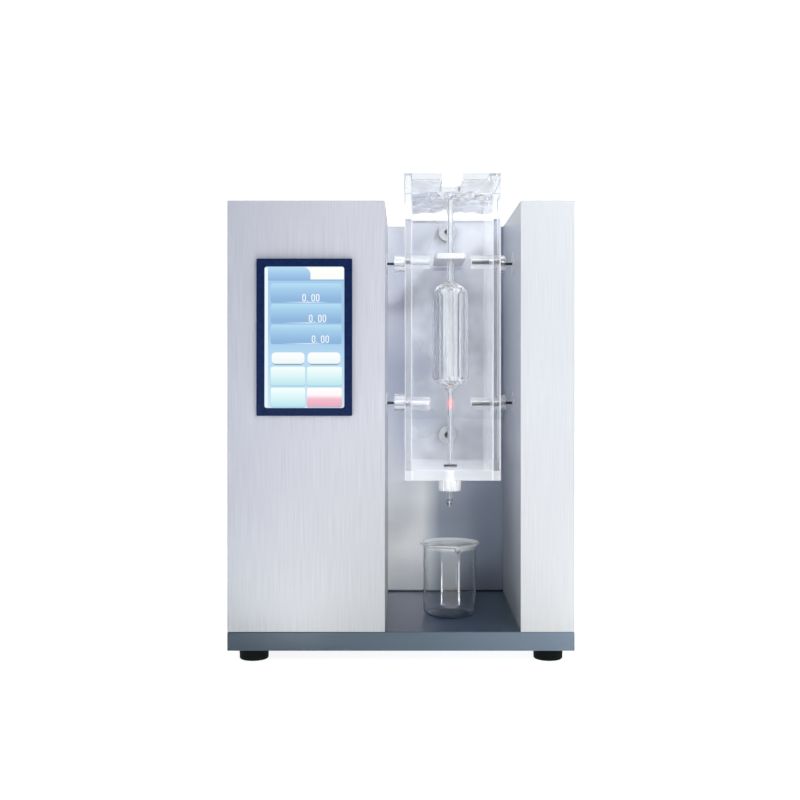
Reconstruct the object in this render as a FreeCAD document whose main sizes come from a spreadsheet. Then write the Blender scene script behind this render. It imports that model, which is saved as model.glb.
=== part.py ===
import FreeCAD, Part
import math
import os
import Sketcher

# A digital viscometer: a glass run-off pipette in a clear water bath,
# between a cabinet with a touch screen and a slim column, on a tray base.
# Millimetres.  X runs to the right, Y to the rear and Z up.  The origin is
# on the table, below the middle of the body.

Vector = FreeCAD.Vector

doc = FreeCAD.newDocument("viscometer")
sheet = doc.addObject("Spreadsheet::Sheet", "Sizes")
nodes = []


class Size:
    """A length: its formula over the sheet's cells, and its value."""

    def __init__(self, text, value):
        self.text = text
        self.value = value

    def __add__(self, other):
        return Size(f"({self.text} + {formula(other)})", self.value + plain(other))

    def __radd__(self, other):
        return Size(f"({formula(other)} + {self.text})", plain(other) + self.value)

    def __sub__(self, other):
        return Size(f"({self.text} - {formula(other)})", self.value - plain(other))

    def __rsub__(self, other):
        return Size(f"({formula(other)} - {self.text})", plain(other) - self.value)

    def __mul__(self, other):
        return Size(f"({self.text} * {formula(other)})", self.value * plain(other))

    def __rmul__(self, other):
        return self * other

    def __truediv__(self, other):
        return Size(f"({self.text} / {formula(other)})", self.value / plain(other))

    def __neg__(self):
        return Size(f"(0 - {self.text})", -self.value)


def formula(amount):
    return amount.text if isinstance(amount, Size) else f"({float(amount)})"


def plain(amount):
    return amount.value if isinstance(amount, Size) else float(amount)


def size(alias, number, meaning):
    """Write one driving dimension into the sheet and hand it back as a Size."""
    row = size.row
    size.row = row + 1
    sheet.set(f"A{row}", alias)
    sheet.set(f"B{row}", str(number))
    sheet.setAlias(f"B{row}", alias)
    sheet.set(f"C{row}", meaning)
    return Size(f"Sizes.{alias}", float(sheet.getContents(f"B{row}")))


size.row = 1

# Body
bay_wide = size("bay_wide", 144, "bay between the cabinet and the column")
body_deep = size("body_deep", 270, "depth from column front to rear cover")
column_high = size("column_high", 457, "height of the columns above the base")
cabinet_wide = size("cabinet_wide", 167, "left cabinet")
column_wide = size("column_wide", 57, "right column")
duct_deep = size("duct_deep", 50, "service duct behind the bay, with the rear cover")
sheet_steel = size("sheet_steel", 2, "sheet of the shells and panels")
base_high = size("base_high", 20, "height of the base")
base_wall = size("base_wall", 3, "wall of the base casting")
base_edge = size("base_edge", 1.2, "rounding of the base's upper edge")
foot_high = size("foot_high", 14, "height of a foot")
foot_across = size("foot_across", 32, "diameter of a foot")
foot_taper = size("foot_taper", 0.5, "how much narrower a foot is at the table")
foot_inset_side = size("foot_inset_side", 25, "foot axis from the body's side")
foot_inset_front = size("foot_inset_front", 27, "foot axis from the body's front and rear")
fit = size("fit", 0.1, "radial gap of fitted pieces")
running = size("running", 0.4, "gap of pieces that slide or turn")

# Fasteners
screw_across = size("screw_across", 4, "shank of the foot and cover screws")
screw_head = size("screw_head", 7, "head of the foot and cover screws")
screw_head_high = size("screw_head_high", 2.4, "height of a screw head")
head_side_high = size("head_side_high", 1.4, "upright side of a screw head")
head_crown = size("head_crown", 5, "flat crown of a screw head")

# Bath
tank_gap = size("tank_gap", 21, "bath from each side of the bay")
tank_high = size("tank_high", 319, "height of the bath walls and floor")
tank_bottom = size("tank_bottom", 160, "bath underside above the base")
tank_inset = size("tank_inset", 3, "bath front behind the columns' front")
tank_wall = size("tank_wall", 8, "acrylic wall")
tank_floor_thick = size("tank_floor_thick", 10, "acrylic floor")
lid_thick = size("lid_thick", 8, "acrylic lid")
lid_overhang = size("lid_overhang", 1, "lid beyond the bath's sides")
slot_wide = size("slot_wide", 22, "slot of the lid")

# Measuring glass
tube_set_back = size("tube_set_back", 88, "glass axis behind the columns' front")
stem_across = size("stem_across", 8, "outer diameter of the stem and neck")
glass_wall = size("glass_wall", 1.2, "wall of the stem, bulb and neck")
bulb_across = size("bulb_across", 40, "outer diameter of the bulb")
stem_top = size("stem_top", 473, "top of the stem above the base")
bulb_top = size("bulb_top", 376, "where the stem opens into the bulb")
bulb_shoulder = size("bulb_shoulder", 8, "fall of the bulb's shoulder before its rounding")
bulb_round = size("bulb_round", 13, "rounding of the bulb's shoulder")
bulb_bottom = size("bulb_bottom", 267, "end of the bulb's straight wall")
bulb_cone = size("bulb_cone", 12, "height of the cone under the bulb")
neck_end = size("neck_end", 228, "end of the neck")
neck_taper = size("neck_taper", 6, "height of the taper to the capillary")
capillary_across = size("capillary_across", 6.2, "outer diameter of the capillary")
capillary_bore = size("capillary_bore", 2, "bore of the capillary")
tip_height = size("tip_height", 124, "tip of the capillary above the base")
tip_across = size("tip_across", 3.6, "diameter of the capillary at its tip")
tip_taper = size("tip_taper", 5, "length of the taper to the tip")

# Level sensors
upper_level = size("upper_level", 398, "upper sensor axis above the base")
lower_level = size("lower_level", 240, "lower sensor axis above the base")
sleeve_across = size("sleeve_across", 15, "outer diameter of a sleeve")
sleeve_bore = size("sleeve_bore", 6, "bore of a sleeve")
sleeve_gap = size("sleeve_gap", 22.5, "sleeve end from the glass axis")
sleeve_end = size("sleeve_end", 1.5, "closed end of a sleeve")
collar_across = size("collar_across", 20, "diameter of a sleeve's collar")
collar_long = size("collar_long", 12, "length of a sleeve's collar")
lead_across = size("lead_across", 3, "diameter of a sensor's lead")
grommet_across = size("grommet_across", 25, "flange of a wall grommet")
grommet_neck = size("grommet_neck", 14, "neck of a wall grommet")
grommet_proud = size("grommet_proud", 1, "grommet flange over the wall")

# Gland in the floor of the bath
gland_across = size("gland_across", 12, "bush through the floor")
gland_nut_across = size("gland_nut_across", 26, "gland nut under the floor")
gland_nut_high = size("gland_nut_high", 19.5, "height of the gland nut")
gland_seal_high = size("gland_seal_high", 1.6, "seal ring on the floor")
gland_seal_across = size("gland_seal_across", 15, "diameter of the seal ring")

# Glass holder
holder_wide = size("holder_wide", 34, "width of the holder plate")
holder_thick = size("holder_thick", 6, "thickness of the holder plate")
holder_height = size("holder_height", 401, "underside of the holder plate above the base")
holder_front = size("holder_front", 15, "holder plate in front of the glass axis")
ledge_deep = size("ledge_deep", 16, "ledge on the rear wall of the bath")
ledge_high = size("ledge_high", 6, "height of the ledge")

# Bath connections
outlet_level = size("outlet_level", 442, "upper connection above the base")
inlet_level = size("inlet_level", 200, "lower connection above the base")
port_flange = size("port_flange", 21, "flange inside the bath")
port_flange_thick = size("port_flange_thick", 4, "thickness of that flange")
port_across = size("port_across", 12, "threaded neck of a connection")
port_bore = size("port_bore", 7, "bore of a connection")
port_nut = size("port_nut", 20, "nut behind the rear panel")
port_nut_thick = size("port_nut_thick", 6, "thickness of that nut")
seal_thick = size("seal_thick", 1.5, "flat seal ring")

# Beaker
beaker_across = size("beaker_across", 60, "outer diameter of the beaker")
beaker_high = size("beaker_high", 82, "height of the beaker")
beaker_wall = size("beaker_wall", 1.8, "wall of the beaker")
beaker_rim = size("beaker_rim", 67.6, "diameter over the rolled rim")
beaker_rim_high = size("beaker_rim_high", 3.5, "height of the flare to the rim")
beaker_corner = size("beaker_corner", 7, "rounding at the beaker's foot")
spout_out = size("spout_out", 29.5, "axis of the spout's cone from the beaker's axis")
spout_turn = size("spout_turn", 15, "degrees from the front to the spout")
spout_across = size("spout_across", 14, "width of the spout at the rim")
spout_high = size("spout_high", 11, "height of the spout's cone")

# Display
display_wide = size("display_wide", 101, "width of the bezel")
display_high = size("display_high", 166, "height of the bezel")
display_from_side = size("display_from_side", 31.5, "bezel from the cabinet's outer side")
display_height = size("display_height", 229, "bezel's lower edge above the base")
display_proud = size("display_proud", 5, "bezel in front of the cabinet")
window_wide = size("window_wide", 85, "lit window")
window_high = size("window_high", 150, "lit window")
bezel_round = size("bezel_round", 1.2, "corner of the bezel")
screen_lap = size("screen_lap", 4, "screen glass beyond the window")
screen_thick = size("screen_thick", 3, "screen glass and panel")
screen_set_back = size("screen_set_back", 1.5, "screen glass behind the bezel's face")
housing_deep = size("housing_deep", 20, "display housing behind the panel")

# Cooling fan, seen through the grille of the rear cover
fan_wide = size("fan_wide", 60, "side of the square fan frame")
fan_deep = size("fan_deep", 15, "depth of the fan frame")
fan_duct = size("fan_duct", 56, "round opening of the fan frame")
fan_hub = size("fan_hub", 22, "diameter of the rotor's hub and of its seat")
fan_seat = size("fan_seat", 2.5, "depth of the seat and its spokes")
fan_spoke = size("fan_spoke", 3, "width of a spoke")
fan_axis_side = size("fan_axis_side", 50, "fan axis from the cabinet's outer side")
fan_axis_height = size("fan_axis_height", 385, "fan axis above the base")
fan_screw_inset = size("fan_screw_inset", 5, "fan screws from the sides of the frame")
guard_proud = size("guard_proud", 5, "guard behind the rear cover")
guard_wire = size("guard_wire", 2, "rings and bars of the guard, square in section")
blade_thick = size("blade_thick", 1.4, "thickness of a fan blade")
blade_slant = size("blade_slant", 9, "how far a blade leans over its depth")
blade_reach = size("blade_reach", 26.5, "blade tip from the fan axis")
shaft_across = size("shaft_across", 3, "shafts of the fan and the pump")
shaft_fit = size("shaft_fit", 0.05, "radial running clearance of a shaft")

# Circulation pump and heater in the duct
pump_side = size("pump_side", 40, "pump axis to the left of the glass axis")
pump_across = size("pump_across", 42, "pump housing")
pump_high = size("pump_high", 17, "height of the pump housing")
pump_wall = size("pump_wall", 3, "wall of the pump housing")
pump_lid = size("pump_lid", 3, "thickness of the pump's cover")
motor_across = size("motor_across", 36, "pump motor")
motor_high = size("motor_high", 38, "height of the pump motor")
spigot_across = size("spigot_across", 8, "hose spigots")
spigot_bore = size("spigot_bore", 5, "bore of a hose spigot")
spigot_long = size("spigot_long", 9, "length of a hose spigot")
hose_across = size("hose_across", 11, "outer diameter of a hose")
heater_side = size("heater_side", 22, "heater axis to the right of the glass axis")
heater_across = size("heater_across", 36, "heater vessel")
heater_high = size("heater_high", 96, "height of the heater vessel")
heater_leg = size("heater_leg", 8, "foot ring of the heater vessel")
probe_across = size("probe_across", 4, "temperature probe")
probe_long = size("probe_long", 34, "length of the temperature probe")

# Electronics in the left cabinet
supply_wide = size("supply_wide", 98, "power supply")
supply_deep = size("supply_deep", 60, "power supply")
supply_high = size("supply_high", 38, "power supply")
board_deep = size("board_deep", 150, "control board")
board_high = size("board_high", 120, "control board")
board_thick = size("board_thick", 1.6, "control board")
board_stand = size("board_stand", 8, "standoffs of the control board")
board_height = size("board_height", 110, "control board above the base")
board_inset = size("board_inset", 8, "standoff axis from the board's edges")

# Mains inlet, switch and louvres in the rear cover
inlet_wide = size("inlet_wide", 48, "mains inlet's flange")
inlet_high = size("inlet_high", 27, "mains inlet's flange")
inlet_proud = size("inlet_proud", 2.5, "flange of the inlet and switch")
inlet_deep = size("inlet_deep", 24, "mains inlet behind its flange")
inlet_from_side = size("inlet_from_side", 50, "inlet axis from the cabinet's outer side")
inlet_height = size("inlet_height", 30, "inlet axis above the base")
switch_wide = size("switch_wide", 21, "flange of the switch")
switch_high = size("switch_high", 15, "flange of the switch")
switch_side = size("switch_side", 46, "switch axis from the inlet axis")
rocker_thick = size("rocker_thick", 6, "depth of the rocker behind its face")
rocker_round = size("rocker_round", 2, "pivot pin of the rocker")
louvre_long = size("louvre_long", 70, "length of a louvre")
louvre_high = size("louvre_high", 4, "height of a louvre")
louvre_pitch = size("louvre_pitch", 10, "distance between louvres")

# Places that several pieces share
side = (cabinet_wide + bay_wide + column_wide) / 2
tank_wide = bay_wide - tank_gap * 2
rear = body_deep / 2
front = -rear
deck = foot_high + base_high
top = deck + column_high
bay_left = cabinet_wide - side
bay_right = side - column_wide
bay_back = rear - duct_deep - sheet_steel
duct_front = bay_back + sheet_steel
duct_middle = duct_front + (duct_deep - sheet_steel) / 2
cover_front = rear - sheet_steel
glass_x = (bay_left + bay_right) / 2
glass_y = front + tube_set_back
tank_left_side = glass_x - tank_wide / 2
tank_right_side = glass_x + tank_wide / 2
tank_front_side = front + tank_inset
tank_low = deck + tank_bottom
tank_top = tank_low + tank_high
tank_floor_top = tank_low + tank_floor_thick

TURNS = {
    "z": FreeCAD.Rotation(),
    "-z": FreeCAD.Rotation(Vector(1, 0, 0), 180),
    "x": FreeCAD.Rotation(Vector(0, 1, 0), 90),
    "-x": FreeCAD.Rotation(Vector(0, 1, 0), -90),
    "y": FreeCAD.Rotation(Vector(1, 0, 0), -90),
    "-y": FreeCAD.Rotation(Vector(1, 0, 0), 90),
}


def place(thing, spot, axis="z"):
    """Lay a thing's own Z along an axis and tie its foot to a spot."""
    thing.Placement = FreeCAD.Placement(Vector(), TURNS[axis])
    for letter, amount in zip("xyz", spot):
        thing.setExpression(f"Placement.Base.{letter}", formula(amount))
    return thing


def box(name, low, high):
    thing = doc.addObject("Part::Box", name)
    for prop, start, end in zip(("Length", "Width", "Height"), low, high):
        thing.setExpression(prop, formula(end - start))
    return place(thing, low)


def rod(name, spot, axis, across, length):
    thing = doc.addObject("Part::Cylinder", name)
    thing.setExpression("Radius", formula(across / 2))
    thing.setExpression("Height", formula(length))
    return place(thing, spot, axis)


def fuse(name, *things):
    made = doc.addObject("Part::MultiFuse", name)
    made.Shapes = list(things)
    return made


def cut(name, base, *tools):
    made = doc.addObject("Part::Cut", name)
    made.Base = base
    made.Tool = tools[0] if len(tools) == 1 else fuse(f"{name}_tools", *tools)
    return made


def group(name, things):
    made = doc.addObject("Part::Compound", name)
    made.Links = list(things)
    return made


def node(thing):
    """Count a finished piece as a sub-part, under its own name."""
    thing.Label = thing.Name
    nodes.append(thing)
    return thing


def sketch(piece, name, plane):
    drawing = piece.newObject("Sketcher::SketchObject", name)
    origin = next(item for item in piece.Origin.OriginFeatures if item.Role == plane)
    drawing.AttachmentSupport = [(origin, "")]
    drawing.MapMode = "FlatFace"
    return drawing


def pin_down(drawing, kind, number, corner, amount):
    """Hold one corner at a distance from the sketch's origin."""
    rule = Sketcher.Constraint(kind, -1, 1, number, corner, plain(amount))
    held = drawing.addConstraint(rule)
    drawing.setExpression(f"Constraints[{held}]", formula(amount))


def outline(drawing, corners):
    """Draw a closed outline of straight sides, each corner held in place."""
    first = drawing.GeometryCount
    count = len(corners)
    spots = [Vector(plain(across), plain(up), 0) for across, up in corners]
    for number in range(count):
        drawing.addGeometry(Part.LineSegment(spots[number], spots[(number + 1) % count]))
    for number, (across, up) in enumerate(corners):
        following = first + (number + 1) % count
        drawing.addConstraint(Sketcher.Constraint("Coincident", first + number, 2, following, 1))
        pin_down(drawing, "DistanceX", first + number, 1, across)
        pin_down(drawing, "DistanceY", first + number, 1, up)


def circle(drawing, across, up, wide):
    """Draw a circle of a given diameter."""
    middle = Vector(plain(across), plain(up), 0)
    ring = drawing.addGeometry(Part.Circle(middle, Vector(0, 0, 1), plain(wide) / 2))
    held = drawing.addConstraint(Sketcher.Constraint("Radius", ring, plain(wide) / 2))
    drawing.setExpression(f"Constraints[{held}]", formula(wide / 2))
    pin_down(drawing, "DistanceX", ring, 3, across)
    pin_down(drawing, "DistanceY", ring, 3, up)


def rectangle(low, high):
    return [low, (high[0], low[1]), high, (low[0], high[1])]


def body(name, spot=(0, 0, 0), axis="z"):
    return place(doc.addObject("PartDesign::Body", name), spot, axis)


def turned(name, spot, corners, axis="z"):
    """A round piece: an outline of (radius, height) corners about its axis."""
    piece = body(name, spot, axis)
    drawing = sketch(piece, f"{name}_outline", "XZ_Plane")
    outline(drawing, corners)
    turn = piece.newObject("PartDesign::Revolution", f"{name}_turn")
    turn.Profile = drawing
    turn.ReferenceAxis = (drawing, ["V_Axis"])
    turn.Angle = 360
    return piece


def plate(name, plane, start, thick, outlines, holes=()):
    """A flat piece between two planes, with the outlines inside the first as openings."""
    spot = {"XY": (0, 0, start), "XZ": (0, start, 0), "YZ": (start, 0, 0)}[plane]
    piece = body(name, spot)
    drawing = sketch(piece, f"{name}_outline", f"{plane}_Plane")
    for corners in outlines:
        outline(drawing, corners)
    for across, up, wide in holes:
        circle(drawing, across, up, wide)
    pad = piece.newObject("PartDesign::Pad", f"{name}_pad")
    pad.Profile = drawing
    pad.setExpression("Length", formula(thick))
    pad.Reversed = plane == "XZ"
    return piece


def rounded(piece, radius, chosen):
    """Round the edges of a piece that a test picks out."""
    doc.recompute([piece])
    last = piece.Tip
    names = [f"Edge{number}" for number, edge in enumerate(last.Shape.Edges, 1) if chosen(edge)]
    soft = piece.newObject("PartDesign::Fillet", f"{last.Name}_soft")
    soft.Base = (last, names)
    soft.setExpression("Radius", formula(radius))
    return piece


def along(direction):
    """A test for straight edges that run in a direction."""
    def chosen(edge):
        ends = [corner.Point for corner in edge.Vertexes]
        straight = len(ends) == 2 and edge.Curve.TypeId == "Part::GeomLine"
        return straight and (ends[1] - ends[0]).normalize().cross(direction).Length < 1e-6
    return chosen


def ring_at(across, height):
    """A test for a round edge of a turned piece, by its diameter and height."""
    def chosen(edge):
        if edge.Curve.TypeId != "Part::GeomCircle":
            return False
        wide = abs(edge.Curve.Radius * 2 - plain(across)) < 1e-4
        return wide and abs(edge.Curve.Center.z - plain(height)) < 1e-4
    return chosen


def level_edge(height):
    """A test for straight edges that lie at one height."""
    def chosen(edge):
        return all(abs(corner.Point.z - plain(height)) < 1e-4 for corner in edge.Vertexes)
    return chosen


def screw(name, spot, axis, long):
    """A pan head screw whose head sits on the spot, its shank against the axis."""
    head, shank = screw_head / 2, screw_across / 2
    corners = [(0, -long), (shank, -long), (shank, 0), (head, 0)]
    corners += [(head, head_side_high), (head_crown / 2, screw_head_high), (0, screw_head_high)]
    return turned(name, spot, corners, axis)


def sine(angle):
    return Size(f"sin({angle.text})", math.sin(math.radians(angle.value)))


def cosine(angle):
    return Size(f"cos({angle.text})", math.cos(math.radians(angle.value)))


# Feet, with their screws in a recess from below
foot_recess = size("foot_recess", 6, "depth of the screw recess in a foot")
recess_gap = size("recess_gap", 0.8, "gap round a screw head in its recess")
foot_edge = size("foot_edge", 0.8, "bevel of a foot's lower edge")
foot_names = {
    "foot_front_left": (-1, -1),
    "foot_front_right": (1, -1),
    "foot_rear_left": (-1, 1),
    "foot_rear_right": (1, 1),
}
foot_spots = []
for name, (across, deep) in foot_names.items():
    foot_spots.append(((side - foot_inset_side) * across, (rear - foot_inset_front) * deep))


def foot(name, spot):
    recess = screw_head / 2 + recess_gap
    hole = screw_across / 2 + fit
    low = foot_across / 2 - foot_taper
    corners = [(recess, 0), (low - foot_edge, 0), (low, foot_edge), (foot_across / 2, foot_high)]
    corners += [(hole, foot_high), (hole, foot_recess), (recess, foot_recess)]
    return turned(name, (spot[0], spot[1], 0), corners)


for name, spot in zip(foot_names, foot_spots):
    node(foot(name, spot))

boss_across = size("boss_across", 14, "screw bosses in the base")
screw_bite = size("screw_bite", 9, "screw length in a boss")
foot_screw_long = foot_high - foot_recess + sheet_steel + screw_bite
foot_screw_set = []
for number, (across, deep) in enumerate(foot_spots, 1):
    foot_screw_set.append(screw(f"foot_screw_{number}", (across, deep, foot_recess), "-z", foot_screw_long))
node(group("foot_screws", foot_screw_set))


def padded(piece, name, plane, length, outlines, holes=(), raised=0, away=False):
    """Add a flat boss to a piece, from a plane raised along the plane's normal."""
    drawing = sketch(piece, f"{name}_outline", plane)
    drawing.setExpression("AttachmentOffset.Base.z", formula(raised))
    for corners in outlines:
        outline(drawing, corners)
    for across, up, wide in holes:
        circle(drawing, across, up, wide)
    pad = piece.newObject("PartDesign::Pad", name)
    pad.Profile = drawing
    pad.setExpression("Length", formula(length))
    pad.Reversed = away
    return pad


def pocketed(piece, name, plane, length, outlines, holes=(), raised=0, away=True):
    """Cut a flat pocket into a piece; away cuts along the plane's normal."""
    drawing = sketch(piece, f"{name}_outline", plane)
    drawing.setExpression("AttachmentOffset.Base.z", formula(raised))
    for corners in outlines:
        outline(drawing, corners)
    for across, up, wide in holes:
        circle(drawing, across, up, wide)
    pocket = piece.newObject("PartDesign::Pocket", name)
    pocket.Profile = drawing
    pocket.setExpression("Length", formula(length))
    pocket.Reversed = away
    return pocket


# Base: a casting open below, closed by a cover
base_tray = body("base_tray", (0, 0, foot_high))
padded(base_tray, "base_block", "XY_Plane", base_high, [rectangle((-side, front), (side, rear))])
rounded(base_tray, base_edge, level_edge(base_high))
inner_side = side - base_wall
inner_rear = rear - base_wall
inside = rectangle((-inner_side, -inner_rear), (inner_side, inner_rear))
pocketed(base_tray, "base_hollow", "XY_Plane", base_high - base_wall, [inside])
bosses = [(across, deep, boss_across) for across, deep in foot_spots]
boss_high = base_high - base_wall - sheet_steel
padded(base_tray, "base_bosses", "XY_Plane", boss_high, [], bosses, sheet_steel)
pilots = [(across, deep, screw_across) for across, deep in foot_spots]
pocketed(base_tray, "base_pilots", "XY_Plane", screw_bite + fit, [], pilots, sheet_steel)
node(base_tray)

cover_side = inner_side - fit
cover_rear = inner_rear - fit
cover_holes = [(across, deep, screw_across + fit * 2) for across, deep in foot_spots]
cover_outline = rectangle((-cover_side, -cover_rear), (cover_side, cover_rear))
node(plate("base_cover", "XY", foot_high, sheet_steel, [cover_outline], cover_holes))


# Columns: folded sheet shells, open to the rear inside a return flange
flange_wide = size("flange_wide", 12, "return flange round the rear opening")
mouth_edge = size("mouth_edge", 2, "bezel's spigot inside the bezel's outline")
cover_inset = size("cover_inset", 6, "cover screws from the edges of the flanges")
cover_screw_heights = (deck + cover_inset, deck + column_high / 2, top - cover_inset)
display_left = -side + display_from_side
display_low = deck + display_height
display_right = display_left + display_wide
display_top = display_low + display_high


def shell(name, left, right, *openings):
    outer = box(f"{name}_outer", (left, front, deck), (right, cover_front, top))
    low = (left + sheet_steel, front + sheet_steel, deck + sheet_steel)
    high = (right - sheet_steel, cover_front - sheet_steel, top - sheet_steel)
    inner = box(f"{name}_inner", low, high)
    mouth_low = (left + flange_wide, cover_front - sheet_steel, deck + flange_wide)
    mouth_high = (right - flange_wide, cover_front, top - flange_wide)
    mouth = box(f"{name}_mouth", mouth_low, mouth_high)
    pilots = []
    for across in (left + cover_inset, right - cover_inset):
        for up in cover_screw_heights:
            spot = (across, cover_front - sheet_steel, up)
            pilot = rod(f"{name}_pilot_{len(pilots) + 1}", spot, "y", screw_across + fit * 2, sheet_steel)
            pilots.append(pilot)
    return node(cut(name, outer, inner, mouth, *pilots, *openings))


def lead_holes(name, start):
    """Holes for the two sensor leads of one column's bay wall."""
    made = []
    for word, level in (("upper", upper_level), ("lower", lower_level)):
        spot = (start, glass_y, deck + level)
        made.append(rod(f"{name}_{word}_hole", spot, "x", grommet_neck + fit * 2, sheet_steel))
    return made


mouth_low = (display_left + mouth_edge - fit, front, display_low + mouth_edge - fit)
mouth_high = (display_right - mouth_edge + fit, front + sheet_steel, display_top - mouth_edge + fit)
display_mouth = box("display_mouth", mouth_low, mouth_high)
left_holes = lead_holes("cabinet", bay_left - sheet_steel)
shell("left_cabinet_shell", -side, bay_left, display_mouth, *left_holes)
shell("right_column_shell", bay_right, side, *lead_holes("column", bay_right))

# Rear panel of the bay, folded over the duct at the top
port_hole = port_across + fit * 2
port_holes = [(glass_x, deck + level, port_hole) for level in (outlet_level, inlet_level)]
panel_outline = rectangle((bay_left, deck), (bay_right, top))
panel_sheet = plate("panel_sheet", "XZ", bay_back, sheet_steel, [panel_outline], port_holes)
panel_flange = box("panel_flange", (bay_left, duct_front, top - sheet_steel), (bay_right, cover_front, top))
node(fuse("back_panel", panel_sheet, panel_flange))

# Rear cover: fan opening, inlet and switch cut-outs, louvres
guard_leg = size("guard_leg", 31, "guard's legs from the fan axis")
socket_gap = size("socket_gap", 0.2, "gap round the inlet and switch bodies")
inlet_body_less = size("inlet_body_less", 4, "flange of the inlet and switch beyond the body, each side")
louvre_count = 8
louvre_low = size("louvre_low", 60, "lowest louvre above the base")
fan_screw_pitch = fan_wide - fan_screw_inset * 2
fan_x = -side + fan_axis_side
fan_z = deck + fan_axis_height
inlet_x = -side + inlet_from_side
inlet_z = deck + inlet_height
switch_x = inlet_x + switch_side


def centred(across, up, wide, high):
    low = (across - wide / 2, up - high / 2)
    return rectangle(low, (across + wide / 2, up + high / 2))


def four_round(across, up, pitch):
    half = pitch / 2
    return [(across + half * h, up + half * v) for h in (-1, 1) for v in (-1, 1)]


inlet_body_wide = inlet_wide - inlet_body_less * 2
inlet_body_high = inlet_high - inlet_body_less
switch_body_wide = switch_wide - inlet_body_less
switch_body_high = switch_high - inlet_body_less / 2
cover_openings = [rectangle((-side, deck), (side, top))]
for across, wide, high in (
    (inlet_x, inlet_body_wide, inlet_body_high),
    (switch_x, switch_body_wide, switch_body_high),
):
    cover_openings.append(centred(across, inlet_z, wide + socket_gap * 2, high + socket_gap * 2))
for number in range(louvre_count):
    louvre_z = deck + louvre_low + louvre_pitch * number
    cover_openings.append(centred(glass_x, louvre_z, louvre_long, louvre_high))
    cover_openings.append(centred(fan_x, louvre_z + louvre_low, louvre_long, louvre_high))
cover_screw_spots = four_round(fan_x, fan_z, fan_screw_pitch)
for across in (-side + cover_inset, bay_left - cover_inset, bay_right + cover_inset, side - cover_inset):
    cover_screw_spots += [(across, up) for up in cover_screw_heights]
rear_holes = [(across, up, screw_across + fit * 2) for across, up in cover_screw_spots]
rear_holes.append((fan_x, fan_z, fan_duct))
node(plate("rear_cover", "XZ", cover_front, sheet_steel, cover_openings, rear_holes))

cover_screw_long = size("cover_screw_long", 8, "length of a cover screw")
cover_screw_set = []
for number, (across, up) in enumerate(cover_screw_spots, 1):
    cover_screw_set.append(screw(f"cover_screw_{number}", (across, rear, up), "y", cover_screw_long))
node(group("cover_screws", cover_screw_set))

# Bath of acrylic plates, the side plates between the front and rear ones
wall_in_front = tank_front_side + tank_wall
wall_in_rear = bay_back - tank_wall
wall_in_left = tank_left_side + tank_wall
wall_in_right = tank_right_side - tank_wall
broad = rectangle((tank_left_side, tank_low), (tank_right_side, tank_top))
node(plate("tank_front", "XZ", tank_front_side, tank_wall, [broad]))
node(plate("tank_back", "XZ", wall_in_rear, tank_wall, [broad], port_holes))
flank = rectangle((wall_in_front, tank_low), (wall_in_rear, tank_top))
sleeve_hole = sleeve_across + fit * 2
sleeve_holes = [(glass_y, deck + level, sleeve_hole) for level in (upper_level, lower_level)]
node(plate("tank_left", "YZ", tank_left_side, tank_wall, [flank], sleeve_holes))
node(plate("tank_right", "YZ", wall_in_right, tank_wall, [flank], sleeve_holes))
floor_outline = rectangle((wall_in_left, wall_in_front), (wall_in_right, wall_in_rear))
gland_hole = [(glass_x, glass_y, gland_across + fit * 2)]
node(plate("tank_floor", "XY", tank_low, tank_floor_thick, [floor_outline], gland_hole))

lid_left = tank_left_side - lid_overhang
lid_right = tank_right_side + lid_overhang
lid_edge = size("lid_edge", 0.8, "polished edge of the lid")
lid_outline = rectangle((lid_left, tank_front_side), (lid_right, bay_back - running))
tank_lid = plate("tank_lid", "XY", tank_top, lid_thick, [lid_outline])
slot_low = (glass_x - slot_wide / 2, tank_front_side - lid_overhang)
slot_outline = rectangle(slot_low, (glass_x + slot_wide / 2, glass_y))
pocketed(tank_lid, "lid_slot", "XY_Plane", lid_thick, [slot_outline])
pocketed(tank_lid, "lid_slot_end", "XY_Plane", lid_thick, [], [(glass_x, glass_y, slot_wide)])
rounded(tank_lid, lid_edge, level_edge(lid_thick))
node(tank_lid)

# Gland: a bush through the floor, a grooved nut below it and a seal above
gland_bore = capillary_across / 2 + running
grip_count = 12
grip_wide = size("grip_wide", 3, "grip grooves of the gland nut")
grip_long = size("grip_long", 12, "length of the grip grooves")
nut_edge = size("nut_edge", 1, "bevel of the gland nut")
gland_low = tank_low - gland_nut_high
bush_corners = [(gland_bore, gland_low), (gland_across / 2, gland_low)]
bush_corners += [(gland_across / 2, tank_floor_top), (gland_bore, tank_floor_top)]
node(turned("gland_bush", (glass_x, glass_y, 0), bush_corners))
nut_bore = gland_across / 2 + fit
nut_out = gland_nut_across / 2
nut_corners = [(nut_bore, 0), (nut_out - nut_edge, 0), (nut_out, nut_edge)]
nut_corners += [(nut_out, gland_nut_high), (nut_bore, gland_nut_high)]
gland_nut = turned("gland_nut", (glass_x, glass_y, gland_low), nut_corners)


def axis_of(piece, role="Z_Axis"):
    return next(item for item in piece.Origin.OriginFeatures if item.Role == role)


def repeated(piece, feature, count):
    """Repeat a feature evenly about the piece's own Z axis."""
    pattern = piece.newObject("PartDesign::PolarPattern", f"{feature.Name}_ring")
    pattern.Originals = [feature]
    pattern.Axis = (axis_of(piece), [""])
    pattern.Angle = 360
    pattern.Occurrences = count
    piece.Tip = pattern
    return piece


groove = [(nut_out, 0, grip_wide)]
grip = pocketed(gland_nut, "nut_grip", "XY_Plane", grip_long, [], groove)
repeated(gland_nut, grip, grip_count)
node(gland_nut)
seal_corners = rectangle((gland_bore, 0), (gland_seal_across / 2, gland_seal_high))
node(turned("gland_seal", (glass_x, glass_y, tank_floor_top), seal_corners))

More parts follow.
